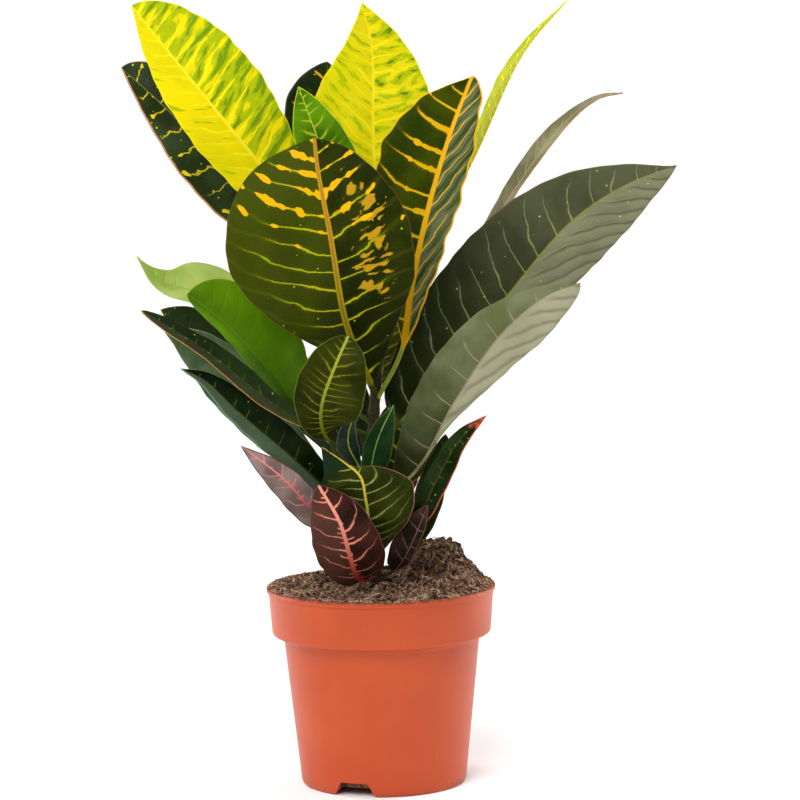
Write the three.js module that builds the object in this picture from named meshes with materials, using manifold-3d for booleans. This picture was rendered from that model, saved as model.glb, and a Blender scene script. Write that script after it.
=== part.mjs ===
// A young croton in a terracotta-coloured plastic nursery pot, at its real size.
// Millimetres, +Z up. The origin is on the surface the pot stands on, under the middle of the whole
// plant. -Y is the side that most of the leaves turn their patterned faces to.
// All lengths below are measured from the pot's own axis, which stands at POT_AT.
import * as THREE from "three";
import { mergeVertices } from "three/addons/utils/BufferGeometryUtils.js";
import Module from "manifold-3d";

const wasm = await Module();
wasm.setup();

// ---------------------------------------------------------------- driving dimensions
const POT = {
  rimRadius: 65, // a 13 cm nursery pot
  height: 113,
  bandRadius: 62.2, // outside of the collar at its lower edge
  bandHeight: 27,
  neckRadius: 55.6, // outside of the body just under the collar
  footRadius: 47,
  wall: 1.6,
  lip: 1.2, // how far the rim's bead stands out of the wall
  footRing: 3, // the floor is this far off the ground
  sides: 40,
};
const NOTCH = { count: 3, turn: -111, height: 8, footWidth: 26, topWidth: 16, depth: 15 };
const DRAIN = { count: 6, radius: 3.5, ring: 24 };
const SOIL = { gap: 0.3, belowRim: 2.2, mound: 24, moundAt: [34, 22], moundSpread: [26, 27] };
const STEM = { foot: 60, top: 268, rootRadius: 4.2, topRadius: 2.6, sides: 12, steps: 30 };
const POT_AT = [-14, -26];
const CLEAR = 0.3; // gap between touching pieces
const BLADE = 0.9; // thickness of a leaf away from its midrib
const KEEL = 1.5; // how far the midrib stands out under the leaf at its base

// The stem's axis: x and y at a height z.
const STEM_LINE = [
  [-3, 1, 40], [-3, 1, 113], [-4, 0, 160], [-3, 0, 200], [0, 2, 235], [5, 6, 270],
];

// ---------------------------------------------------------------- the leaves
// look: the leaf's colouring.
// from: height on the stem where the leaf's stalk springs.
// spine: points along the stalk and the midrib, the last one the leaf's tip.
// stalk: share of the spine that is stalk.
// left, right: each half of the blade, [width, peak, base, tip]. Peak is where along the blade it is
// widest; base and tip say how its ends close, 0.5 round, 1 pointed, above 1 drawn out.
// face: the ways the patterned side looks, from the stalk to the tip.
// fold: how far the left and the right half are raised towards that side, in degrees.
// wave: height, number and phase of the waves of the margin.
const LEAF_COLORS = {
  olive: 0x3f4a12, yellow: 0xc9c81e, dark: 0x16301a, light: 0x6f9a2c, grey: 0x6d7058, red: 0x4a2526,
};
const LEAVES = {
  // the crown
  broad_front: {
    look: "olive", from: 222, stalk: 0.07, fold: [14, 10], wave: [1.6, 2, 0],
    left: [59, 0.62, 3, 0.72], right: [45, 0.6, 1.2, 0.95],
    face: [[0.05, -1, 0], [0.05, -1, 0.25], [-0.3, -0.8, 0.6]],
    spine: [[-6, -18, 235], [-17, -40, 268], [-24, -55, 316], [-30, -50, 350], [-32, -36, 368]],
  },
  yellow_left: {
    look: "yellow", from: 250, stalk: 0.14, fold: [14, 14], wave: [1.3, 2, 0],
    left: [25, 0.6, 1.5, 1.1], right: [33, 0.7, 2, 0.6],
    face: [[0.28, -1, 0.23], [0.28, -1, 0.23]],
    spine: [[-17, -4, 292], [-63, -6, 352], [-99, -6, 398], [-134, 6, 442]],
  },
  dark_left: {
    look: "dark", from: 246, stalk: 0.14, fold: [12, 8], wave: [1.3, 2, 1],
    left: [21, 0.6, 1.4, 1], right: [24, 0.7, 1.2, 0.5],
    face: [[0.1, -1, 0.2], [0.1, -1, 0.2]],
    spine: [[-32, 28, 290], [-80, 40, 339], [-115, 42, 380], [-143, 38, 407]],
  },
  yellow_centre: {
    look: "yellow", from: 258, stalk: 0.15, fold: [12, 12], wave: [1.5, 2, 0.5],
    left: [38, 0.48, 1.2, 1.2], right: [38, 0.48, 1.2, 1.1],
    face: [[0, -1, 0.1], [0, -1, 0.1]],
    spine: [[2, 14, 308], [0, 20, 364], [0, 22, 415], [-5, 12, 442]],
  },
  striped_right: {
    look: "olive", from: 216, stalk: 0.18, fold: [12, 24], wave: [1.8, 2.5, 0.3],
    left: [35, 0.66, 1.4, 1.1], right: [19, 0.62, 1, 0.5],
    face: [[-0.1, -1, 0.15], [-0.1, -1, 0.15]],
    spine: [[14, -7, 247], [20, -12, 281], [30, -16, 326], [43, -14, 368], [56, -4, 400]],
  },
  dark_back: {
    look: "dark", from: 254, stalk: 0.15, fold: [12, 12], wave: [1, 2, 0],
    left: [22, 0.78, 1.2, 0.7], right: [24, 0.6, 1.2, 0.8],
    face: [[0, -1, 0.1], [0, -1, 0.1]],
    spine: [[-8, 32, 300], [-30, 56, 360], [-26, 68, 408]],
  },
  green_young: {
    look: "light", from: 262, stalk: 0.15, fold: [10, 10], wave: [0.8, 2, 0],
    left: [14, 0.7, 1.2, 1], right: [18, 0.6, 1.2, 0.9],
    face: [[0, -1, 0.2], [0, -1, 0.2]],
    spine: [[-12, -12, 310], [-30, -16, 365], [-41, -14, 396]],
  },
  yellow_right: {
    look: "yellow", from: 252, stalk: 0.14, fold: [14, 30], wave: [1, 2, 0],
    left: [12, 0.55, 1.2, 0.9], right: [14, 0.5, 1.2, 1.1],
    face: [[-0.78, -0.24, 0.58], [-0.78, -0.24, 0.58]],
    spine: [[28, 30, 301], [58, 44, 355], [86, 48, 411], [112, 52, 441]],
  },
  grey_right: {
    look: "grey", from: 235, stalk: 0.14, fold: [5, 5], wave: [1, 2, 0],
    left: [14, 0.6, 1, 0.8], right: [11, 0.5, 1.2, 1],
    face: [[-0.62, -0.26, 0.72], [-0.62, -0.26, 0.72]],
    spine: [[43, 40, 274], [82, 62, 334], [112, 70, 371.5], [131, 73, 384.5], [145, 75, 387]],
  },
  // the long leaves on the right
  long_right: {
    look: "dark", from: 188, stalk: 0.09, fold: [14, 14], wave: [1.5, 2.5, 0],
    left: [39, 0.42, 0.45, 1.3], right: [28, 0.66, 1.2, 0.9],
    face: [[0, -1, 0.1], [0, -1, 0.2]],
    spine: [[35, 6, 230], [69, 12, 269], [111, 18, 316], [142, 22, 336], [172, 26, 347]],
  },
  long_right_low: {
    look: "grey", from: 159, stalk: 0.1, fold: [12, 16], wave: [1.2, 2.5, 0.5],
    left: [24, 0.46, 0.55, 1.4], right: [19, 0.76, 3.6, 0.6],
    face: [[0.1, -1, 0.1], [0.1, -1, 0.1]],
    spine: [[21, -14, 180], [43, -30, 220], [69, -38, 258], [94, -40, 279], [113, -38, 286]],
  },
  // the sheaf on the left
  light_left: {
    look: "light", from: 198, stalk: 0.2, fold: [-55, 12], wave: [1.5, 2, 0],
    left: [8, 0.6, 1, 0.6], right: [28, 0.6, 1, 0.45],
    face: [[0.42, -1, 0.39], [0.42, -1, 0.39]],
    spine: [[-43, -14, 216], [-63, -27, 243], [-83, -33, 266], [-104, -34, 283]],
  },
  light_left_back: {
    look: "light", from: 204, stalk: 0.2, fold: [10, 20], wave: [1.2, 2, 1],
    left: [16, 0.62, 1.4, 0.9], right: [24, 0.62, 1.2, 2.2],
    face: [[0.33, -0.57, 0.74], [0.33, -0.5, 0.74]],
    spine: [[-40, -5, 236], [-77, -8, 261], [-99, -10, 281], [-118, -12, 288], [-133, -13, 303]],
  },
  dark_left_top: {
    look: "dark", from: 168, stalk: 0.16, fold: [12, 12], wave: [0.8, 2, 0],
    left: [12, 0.55, 1, 0.7], right: [10, 0.6, 1, 0.6],
    face: [[0.5, -0.45, 0.7], [0.5, -0.5, 0.7]],
    spine: [[-33, -22, 204], [-50, -36, 216], [-66, -45, 229], [-94, -50, 253], [-129, -44, 275]],
  },
  dark_left_back: {
    look: "dark", from: 178, stalk: 0.18, fold: [12, 12], wave: [1, 2, 0],
    left: [16, 0.6, 1.2, 1], right: [18, 0.7, 1.2, 0.8],
    face: [[0.1, -0.9, 0.4], [0.1, -0.9, 0.4]],
    spine: [[-44, 2, 208], [-81, 2, 236], [-104, 0, 258], [-121, -4, 272]],
  },
  blue_left: {
    look: "dark", from: 150, stalk: 0.15, fold: [8, 14], wave: [1, 2, 0],
    left: [19, 0.66, 1, 0.9], right: [13, 0.6, 1, 0.9],
    face: [[-0.2, -1, 0.1], [-0.2, -1, 0.1]],
    spine: [[-36, -12, 182], [-64, -12, 214], [-90, -14, 246], [-108, -15, 258], [-119, -16, 262]],
  },
  dark_left_low: {
    look: "dark", from: 142, stalk: 0.15, fold: [25, 0], wave: [0.8, 2, 0],
    left: [8, 0.45, 0.8, 0.8], right: [13, 0.5, 1, 1],
    face: [[-0.1, -1, 0.2], [-0.1, -1, 0.2]],
    spine: [[-45, -32, 188], [-62, -38, 204], [-78, -42, 219], [-95, -44, 236], [-108, -46, 243]],
  },
  // the low leaves
  olive_small: {
    look: "olive", from: 156, stalk: 0.4, fold: [10, 10], wave: [0.6, 2, 0],
    left: [17, 0.62, 1.2, 0.6], right: [23, 0.6, 1, 0.6],
    face: [[0, -1, 0], [0, -1, 0.25], [0, -1, 0.35]],
    spine: [[-16, -12, 178], [-26, -24, 196], [-31, -42, 209], [-30, -56, 224],
      [-22, -67, 246], [-15, -64, 261]],
  },
  folded_front: {
    look: "olive", from: 121, stalk: 0.12, fold: [4, 6], wave: [0.5, 2, 0],
    left: [27, 0.68, 1.4, 0.8], right: [28, 0.62, 2, 14],
    face: [[0, -0.7, -0.7], [0, -1, 0], [0, -1, 0.2], [0, -0.9, 0.5], [0, -0.35, 1]],
    spine: [[-3, -18, 132], [-5, -34, 148], [-7, -44, 166], [-10, -46, 181],
      [-18, -42, 188], [-31, -40, 197]],
  },
  red_front: {
    look: "red", from: 117.5, stalk: 0.16, fold: [10, 10], wave: [0.5, 2, 0],
    left: [19, 0.6, 1, 0.7], right: [20, 0.45, 0.8, 0.8],
    face: [[0, -0.6, -0.9], [0, -1, 0], [0, -1, 0.2], [0, -1, 0.2]],
    spine: [[-8, -12, 118], [-13, -27, 122], [-17, -44, 138], [-22, -56, 158], [-33, -59, 178.5]],
  },
  red_left: {
    look: "red", from: 127, stalk: 0.28, fold: [14, 14], wave: [0.5, 2, 0],
    left: [10.5, 0.5, 0.9, 1], right: [9, 0.45, 0.8, 1.1],
    face: [[0, -1, 0.2], [0, -1, 0.2]],
    spine: [[-38, -34, 162], [-52, -42, 179.5], [-76, -44, 199.5]],
  },
  red_tip_right: {
    look: "dark", from: 136, stalk: 0.2, fold: [20, 20], wave: [0.5, 2, 0],
    left: [7, 0.5, 0.8, 0.8], right: [9, 0.5, 1, 1],
    face: [[-0.3, -1, 0.3], [-0.3, -1, 0.3]],
    spine: [[20, -28, 153], [32, -40, 177], [45, -44, 200], [60, -46, 214]],
  },
  dark_right_low: {
    look: "dark", from: 123, stalk: 0.12, fold: [14, 14], wave: [0.5, 2, 0],
    left: [9, 0.5, 0.8, 0.7], right: [9, 0.6, 1, 0.6],
    face: [[-0.1, -1, 0.2], [-0.1, -1, 0.2]],
    spine: [[9, -9, 125], [17, -12, 137], [24, -11, 152], [32, -8, 178], [38, -5, 199]],
  },
  red_right_low: {
    look: "red", from: 119, stalk: 0.24, fold: [14, 14], wave: [0.4, 2, 0],
    left: [11, 0.45, 0.6, 0.8], right: [5, 0.5, 1, 0.7],
    face: [[0, -0.6, -0.9], [-0.3, -1, 0], [-0.3, -1, 0.2]],
    spine: [[5, -10, 121], [12, -21, 129], [20, -34, 146], [27, -42, 164]],
  },
  green_inner: {
    look: "dark", from: 162, stalk: 0.2, fold: [12, 12], wave: [0.5, 2, 0],
    left: [7, 0.5, 0.8, 1], right: [10, 0.5, 0.8, 1],
    face: [[0, -1, 0.2], [0, -1, 0.2]],
    spine: [[-3, -9, 169], [-4, -17, 182], [0, -20, 199], [9, -22, 218]],
  },
  grey_inner: {
    look: "grey", from: 160, stalk: 0.35, fold: [12, 12], wave: [0.5, 2, 0],
    left: [7, 0.55, 1.2, 1], right: [6, 0.5, 1.2, 1],
    face: [[0, -1, 0.2], [0, -1, 0.2]],
    spine: [[-11, -12, 182], [-16.5, -20, 195], [-16, -26, 205], [-12, -29, 214]],
  },
  // the far side
  far_crown: {
    look: "yellow", from: 244, stalk: 0.16, fold: [12, 12], wave: [1.5, 2, 0],
    left: [25, 0.5, 1, 0.9], right: [25, 0.5, 1, 0.9],
    face: [[0, -0.5, 0.8], [0, -0.2, 1]],
    spine: [[6, 34, 268], [0, 66, 306], [-10, 104, 330]],
  },
  far_left: {
    look: "dark", from: 240, stalk: 0.16, fold: [12, 12], wave: [1.5, 2, 1],
    left: [25, 0.55, 1, 0.9], right: [25, 0.55, 1, 0.9],
    face: [[0.3, -0.3, 0.9], [0.3, -0.1, 1]],
    spine: [[-30, 36, 268], [-58, 66, 290], [-82, 96, 302]],
  },
  far_right: {
    look: "dark", from: 228, stalk: 0.14, fold: [14, 14], wave: [1.5, 2, 2],
    left: [25, 0.5, 1, 1], right: [25, 0.5, 1, 1],
    face: [[-0.3, -0.4, 0.9], [-0.2, -0.1, 1]],
    spine: [[30, 32, 250], [62, 66, 274], [88, 104, 286]],
  },
  far_middle: {
    look: "olive", from: 214, stalk: 0.14, fold: [12, 12], wave: [1.5, 2, 3],
    left: [27, 0.5, 1, 0.9], right: [27, 0.5, 1, 0.9],
    face: [[0, -0.4, 0.9], [0, 0, 1]],
    spine: [[3, 38, 238], [0, 82, 258], [-6, 124, 262]],
  },
  far_left_low: {
    look: "dark", from: 164, stalk: 0.16, fold: [14, 14], wave: [1.2, 2, 0],
    left: [21, 0.5, 1, 0.9], right: [21, 0.5, 1, 0.9],
    face: [[0.3, -0.3, 0.9], [0.2, 0, 1]],
    spine: [[-30, 30, 190], [-54, 62, 212], [-72, 94, 222]],
  },
  far_right_low: {
    look: "olive", from: 158, stalk: 0.2, fold: [14, 14], wave: [1.2, 2, 1],
    left: [19, 0.45, 0.8, 0.9], right: [19, 0.45, 0.8, 0.9],
    face: [[0, -1, 0.3], [0, -1, 0.3]],
    spine: [[8, 13, 169], [14, 21, 186], [18, 28, 207], [19, 31, 228]],
  },
  far_low: {
    look: "dark", from: 176, stalk: 0.2, fold: [14, 14], wave: [1, 2, 0],
    left: [13, 0.45, 0.8, 0.9], right: [10.5, 0.45, 0.8, 0.9],
    face: [[0, -1, 0.3], [0, -1, 0.3]],
    spine: [[-8, 10, 187], [-12, 19, 203], [-12, 25, 219], [-11, 28, 231]],
  },
  far_lowest: {
    look: "red", from: 138, stalk: 0.2, fold: [14, 14], wave: [0.8, 2, 0],
    left: [12, 0.5, 1, 1], right: [12, 0.5, 1, 1],
    face: [[-0.1, -0.3, 0.9], [0, 0, 1]],
    spine: [[6, 24, 154], [14, 46, 168], [20, 68, 174]],
  },
};

// ---------------------------------------------------------------- helpers
const vec = (p) => new THREE.Vector3(...p);
const curveThrough = (points) => new THREE.CatmullRomCurve3(points.map(vec), false, "centripetal");
const smooth = THREE.MathUtils.smoothstep;

function solidOf(geometry) {
  const bare = new THREE.BufferGeometry();
  bare.setAttribute("position", geometry.getAttribute("position").clone());
  if (geometry.index) bare.setIndex(geometry.index.clone());
  const merged = mergeVertices(bare, 1e-4);
  const vertProperties = new Float32Array(merged.attributes.position.array);
  const triVerts = new Uint32Array(merged.index.array);
  return new wasm.Manifold(new wasm.Mesh({ numProp: 3, vertProperties, triVerts }));
}

function geometryOf(solid) {
  const mesh = solid.getMesh();
  const geometry = new THREE.BufferGeometry();
  geometry.setAttribute("position", new THREE.BufferAttribute(new Float32Array(mesh.vertProperties), 3));
  geometry.setIndex(new THREE.BufferAttribute(new Uint32Array(mesh.triVerts), 1));
  geometry.computeVertexNormals();
  return geometry;
}

// A closed skin over rings of points: rings[i][j], each ring closed on itself, with flat ends.
function skin(rings) {
  const sides = rings[0].length;
  const flat = rings.flat().flatMap((p) => [p.x, p.y, p.z]);
  const faces = [];
  for (let i = 0; i + 1 < rings.length; i++) {
    for (let j = 0; j < sides; j++) {
      const a = i * sides + j;
      const b = i * sides + ((j + 1) % sides);
      faces.push(a, b, b + sides, a, b + sides, a + sides);
    }
  }
  const last = (rings.length - 1) * sides;
  for (let j = 1; j + 1 < sides; j++) {
    faces.push(0, j + 1, j, last, last + j, last + j + 1);
  }
  const geometry = new THREE.BufferGeometry();
  geometry.setAttribute("position", new THREE.Float32BufferAttribute(flat, 3));
  geometry.setIndex(faces);
  return geometry;
}

const stemCurve = curveThrough(STEM_LINE);
const stemSamples = stemCurve.getPoints(400);

function stemPoint(z) {
  const k = stemSamples.findIndex((point) => point.z > z);
  const [below, above] = [stemSamples[k - 1], stemSamples[k]];
  return below.clone().lerp(above, (z - below.z) / (above.z - below.z));
}

function stemSolid(extra) {
  const rings = [];
  for (let i = 0; i <= STEM.steps; i++) {
    const share = i / STEM.steps;
    const centre = stemPoint(THREE.MathUtils.lerp(STEM.foot - extra, STEM.top + extra, share));
    const radius = THREE.MathUtils.lerp(STEM.rootRadius, STEM.topRadius, share) + extra;
    const ring = [];
    for (let j = 0; j < STEM.sides; j++) {
      const turn = (2 * Math.PI * j) / STEM.sides;
      ring.push(centre.clone().add(vec([radius * Math.cos(turn), radius * Math.sin(turn), 0])));
    }
    rings.push(ring);
  }
  return solidOf(skin(rings));
}

// ---------------------------------------------------------------- a leaf
// Columns across the blade from its left margin. "rib" is the edge of the midrib's own strip.
const WIDE_COLUMNS = [-1, -0.62, "-rib", 0, "rib", 0.62, 1];
const SLIM_COLUMNS = [-1, -0.5, 0, 0.5, 1];
const RIB = 2.2; // half-width of the midrib's own strip

// Half-width of one half of a blade, as a share of its greatest, at a share t of the blade's length.
function halfShape([, peak, base, tip], t) {
  const away = t < peak ? 1 - t / peak : (t - peak) / (1 - peak);
  return (1 - away * away) ** (t < peak ? base : tip);
}

function lookAt(faces, along) {
  const at = along * (faces.length - 1);
  const k = Math.min(Math.floor(at), faces.length - 2);
  return vec(faces[k]).lerp(vec(faces[k + 1]), at - k);
}

function leafSolid(leaf) {
  const curve = curveThrough([stemPoint(leaf.from).toArray(), ...leaf.spine]);
  const size = leaf.left[0] + leaf.right[0];
  const columns = size > 55 ? WIDE_COLUMNS : SLIM_COLUMNS;
  const steps = Math.round(THREE.MathUtils.clamp(curve.getLength() / 11, 9, 15));
  const stalkRadius = 0.8 + size * 0.011;
  const rings = [];
  for (let i = 0; i <= steps; i++) {
    const along = 1 - (1 - i / steps) ** 1.25;
    const blade = Math.max(0, (along - leaf.stalk) / (1 - leaf.stalk));
    const isBlade = smooth(along, leaf.stalk, leaf.stalk + 0.12);
    const stalkHere = stalkRadius * (1 - 0.7 * along);
    const centre = curve.getPointAt(along);
    const forward = curve.getTangentAt(along);
    const up = lookAt(leaf.face, along);
    up.addScaledVector(forward, -up.dot(forward)).normalize();
    const right = forward.clone().cross(up);
    const top = [];
    const bottom = [];
    for (const column of columns) {
      const side = column === "-rib" || column < 0 ? -1 : 1;
      const half = side < 0 ? leaf.left : leaf.right;
      const outline = halfShape(half, blade);
      const reach = Math.max(stalkHere, half[0] * outline);
      const ribShare = Math.min(0.33, RIB / reach);
      const out = typeof column === "string" ? ribShare : Math.abs(column);
      const angle = THREE.MathUtils.degToRad(leaf.fold[side < 0 ? 0 : 1]) * isBlade;
      const ripple = Math.sin(2 * Math.PI * leaf.wave[1] * blade + leaf.wave[2] + side);
      const lift = reach * out * Math.sin(angle) + leaf.wave[0] * out * out * ripple * outline * isBlade;
      const point = centre.clone().addScaledVector(up, lift);
      point.addScaledVector(right, side * reach * out * Math.cos(angle));
      const skinUp = up.clone().multiplyScalar(Math.cos(out ? angle : 0));
      skinUp.addScaledVector(right, -side * Math.sin(out ? angle : 0));
      const round = stalkHere * Math.sqrt(1 - out * out) + 0.3;
      const rib = Math.max(0, 1 - out / ribShare);
      const below = BLADE / 2 + KEEL * (1 - along) * rib;
      top.push(point.clone().addScaledVector(skinUp, THREE.MathUtils.lerp(round, BLADE / 2, isBlade)));
      bottom.push(point.clone().addScaledVector(skinUp, -THREE.MathUtils.lerp(round, below, isBlade)));
    }
    rings.push([...top, ...bottom.reverse()]);
  }
  return solidOf(leafSkin(rings));
}

// Like skin, with both faces of the blade split along matching diagonals.
function leafSkin(rings) {
  const sides = rings[0].length;
  const half = sides / 2;
  const geometry = skin(rings);
  const faces = Array.from(geometry.index.array);
  for (let i = 0; i + 1 < rings.length; i++) {
    for (let j = half; j < sides - 1; j++) {
      const a = i * sides + j;
      const b = a + 1;
      const at = 6 * (i * sides + j);
      faces.splice(at, 6, a, b, a + sides, b, b + sides, a + sides);
    }
  }
  geometry.setIndex(faces);
  return geometry;
}

// ---------------------------------------------------------------- pot and soil
// The outside and inside of the pot's wall, radius and height, at the heights the two are drawn by.
const bandFoot = POT.height - POT.bandHeight;
const POT_OUTSIDE = [
  [POT.footRadius - 3, 0], [POT.footRadius - 0.8, 0.8], [POT.footRadius, 3],
  [POT.neckRadius, bandFoot - 3], [POT.neckRadius + 1, bandFoot - 1.4], [POT.bandRadius - 1.2, bandFoot],
  [POT.bandRadius, bandFoot + 1], [POT.rimRadius - POT.lip, POT.height - 3.4],
  [POT.rimRadius, POT.height - 2.4], [POT.rimRadius, POT.height - 0.5], [POT.rimRadius - 0.5, POT.height],
];
const POT_INSIDE = [
  [POT.rimRadius - 1.9, POT.height], [POT.rimRadius - POT.lip - POT.wall, POT.height - 1.4],
  [POT.bandRadius - POT.wall, bandFoot + 2], [POT.neckRadius - POT.wall, bandFoot - 2],
  [POT.footRadius - POT.wall, POT.footRing + POT.wall],
];

const lathe = (profile) => {
  const points = profile.map(([radius, z]) => new THREE.Vector2(radius, z));
  return solidOf(new THREE.LatheGeometry(points, POT.sides).rotateX(Math.PI / 2));
};

// A drain notch in the foot: a tunnel with sloping sides, its mouth in the pot's wall.
function notch(turn, grow) {
  const foot = NOTCH.footWidth / 2 + grow;
  const top = NOTCH.topWidth / 2 + grow;
  const outline = new THREE.Shape([
    new THREE.Vector2(-foot, grow ? 0 : -1), new THREE.Vector2(foot, grow ? 0 : -1),
    new THREE.Vector2(top, NOTCH.height + grow), new THREE.Vector2(-top, NOTCH.height + grow),
  ]);
  const depth = NOTCH.depth + 6 + grow;
  const block = new THREE.ExtrudeGeometry(outline, { depth, bevelEnabled: false });
  block.rotateX(Math.PI / 2).translate(0, POT.footRadius + 6, 0);
  return solidOf(block.rotateZ(turn));
}

const notchTurns = Array.from({ length: NOTCH.count }, (_, k) =>
  THREE.MathUtils.degToRad(NOTCH.turn - 90 + (360 / NOTCH.count) * k));

function potSolid() {
  const floor = POT.footRing;
  const bulk = lathe([[0, 0], ...POT_OUTSIDE, [0, POT.height]]);
  const below = lathe([[0, -1], [POT.footRadius - 5, -1], [POT.footRadius - 5, floor], [0, floor]]);
  let cavity = lathe([[0, POT.height + 1], [POT.rimRadius - 1.9, POT.height + 1], ...POT_INSIDE,
    [0, floor + POT.wall]].reverse());
  for (const turn of notchTurns) cavity = cavity.subtract(notch(turn, POT.wall));
  let pot = bulk.subtract(below).subtract(cavity);
  for (const turn of notchTurns) pot = pot.subtract(notch(turn, 0));
  for (let k = 0; k < DRAIN.count; k++) {
    const turn = (2 * Math.PI * (k + 0.5)) / DRAIN.count;
    const hole = new THREE.CylinderGeometry(DRAIN.radius, DRAIN.radius, 8, 12).rotateX(Math.PI / 2);
    hole.translate(DRAIN.ring * Math.cos(turn), DRAIN.ring * Math.sin(turn), floor);
    pot = pot.subtract(solidOf(hole));
  }
  return pot;
}

function insideRadius(z) {
  const k = Math.max(1, POT_INSIDE.findIndex((point) => point[1] <= z));
  const [r0, z0] = POT_INSIDE[k - 1];
  const [r1, z1] = POT_INSIDE[k];
  return THREE.MathUtils.mapLinear(z, z0, z1, r0, r1);
}

// Height of the soil's surface: nearly level, heaped towards the back on the right.
function soilHeight(x, y) {
  const dx = (x - SOIL.moundAt[0]) / SOIL.moundSpread[0];
  const dy = (y - SOIL.moundAt[1]) / SOIL.moundSpread[1];
  const lumps = 0.9 * Math.sin(x * 0.21 + 1) * Math.cos(y * 0.17) + 0.5 * Math.sin(x * 0.11 - y * 0.29);
  return POT.height - SOIL.belowRim + SOIL.mound * Math.exp(-dx * dx - dy * dy) + lumps;
}

function soilSolid(stemHole) {
  const floor = POT.footRing + POT.wall + SOIL.gap;
  const rings = [[], [], []];
  const shares = [0.9, 0.72, 0.54, 0.36, 0.18];
  for (let j = 0; j < POT.sides; j++) {
    const turn = (2 * Math.PI * j) / POT.sides;
    const x = Math.sin(turn);
    const y = -Math.cos(turn);
    const edge = Math.min(POT.height - 1.6, soilHeight(60 * x, 60 * y));
    [floor, bandFoot - 2, edge].forEach((z, k) => {
      const radius = insideRadius(z) - SOIL.gap - (k === 1 ? 0.2 : 0);
      rings[k].push(vec([radius * x, radius * y, z]));
    });
  }
  for (const share of shares) {
    rings.push(rings[2].map(({ x, y }) => vec([x * share, y * share, soilHeight(x * share, y * share)])));
  }
  let soil = solidOf(skin(rings)).subtract(stemHole);
  for (const turn of notchTurns) soil = soil.subtract(notch(turn, POT.wall + SOIL.gap));
  return soil;
}

const group = new THREE.Group();
const stemClear = stemSolid(CLEAR);

function add(name, solid, color, roughness) {
  const geometry = geometryOf(solid).translate(POT_AT[0], POT_AT[1], 0);
  const material = new THREE.MeshStandardMaterial({ color, roughness, metalness: 0 });
  const mesh = new THREE.Mesh(geometry, material);
  mesh.name = name;
  group.add(mesh);
}

add("pot", potSolid(), 0xb5502f, 0.5);
add("soil", soilSolid(stemClear), 0x3d2a1d, 1);
add("stem", stemSolid(0), 0x3a2c1c, 0.8);
for (const [name, leaf] of Object.entries(LEAVES)) {
  add("leaf_" + name, leafSolid(leaf).subtract(stemClear), LEAF_COLORS[leaf.look], 0.4);
}
export default group;
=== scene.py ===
"""A young croton in a terracotta-coloured nursery pot: fine leaves, pot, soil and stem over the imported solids.

Lengths in the tables are millimetres from the pot's own axis, as in the part's source. -Y is the front.
"""
import math
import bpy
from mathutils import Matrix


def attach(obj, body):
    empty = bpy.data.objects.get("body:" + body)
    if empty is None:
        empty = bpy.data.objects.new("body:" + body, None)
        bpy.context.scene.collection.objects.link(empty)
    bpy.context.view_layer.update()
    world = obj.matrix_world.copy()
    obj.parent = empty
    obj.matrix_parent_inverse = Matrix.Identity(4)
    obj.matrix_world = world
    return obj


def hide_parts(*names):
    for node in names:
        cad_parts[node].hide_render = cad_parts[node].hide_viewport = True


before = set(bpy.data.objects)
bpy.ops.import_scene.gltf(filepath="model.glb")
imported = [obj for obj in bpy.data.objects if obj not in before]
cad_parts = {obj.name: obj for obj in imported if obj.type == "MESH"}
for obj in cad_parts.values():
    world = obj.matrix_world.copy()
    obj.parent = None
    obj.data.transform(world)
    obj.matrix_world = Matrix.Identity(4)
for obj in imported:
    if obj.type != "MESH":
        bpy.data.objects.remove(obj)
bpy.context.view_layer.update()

from types import SimpleNamespace

import bpy
import numpy as np
from mathutils import Matrix, Vector, noise

# ---------------------------------------------------------------- sizes, as in the part's source
POT_AT = (-14, -26)
RIM_RADIUS, POT_HEIGHT = 65, 113
BAND_RADIUS, BAND_HEIGHT = 62.2, 27
NECK_RADIUS, FOOT_RADIUS = 55.6, 47
WALL, LIP, FOOT_RING = 1.6, 1.2, 3
BAND_FOOT = POT_HEIGHT - BAND_HEIGHT
NOTCH = dict(count=3, turn=-111, height=8, foot_width=26, top_width=16, depth=15)
DRAIN = dict(count=6, radius=3.5, ring=24, top=7)
SOIL = dict(gap=0.3, below_rim=2.2, mound=24, mound_at=(34, 22), mound_spread=(26, 27))
STEM = dict(foot=60, top=268, root_radius=4.2, top_radius=2.6)
STEM_LINE = [[-3, 1, 40], [-3, 1, 113], [-4, 0, 160], [-3, 0, 200], [0, 2, 235], [5, 6, 270]]
KEEL = 1.5  # how far the midrib stands out under the leaf at its base
RIB_STRIP = 2.6  # half-width of the strip of fine columns along the midrib
# Half the thickness of a blade is SHEET_EDGE at its margin, and SHEET more inside.
SHEET, SHEET_EDGE = 0.34, 0.06
ROW_STEP, ROWS = 1.4, (50, 130)  # the rows of points along a leaf: how far apart, the fewest and the most
COLUMN_STEP, COLUMNS = 2.2, (8, 20)  # the columns across its wider half, likewise

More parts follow.
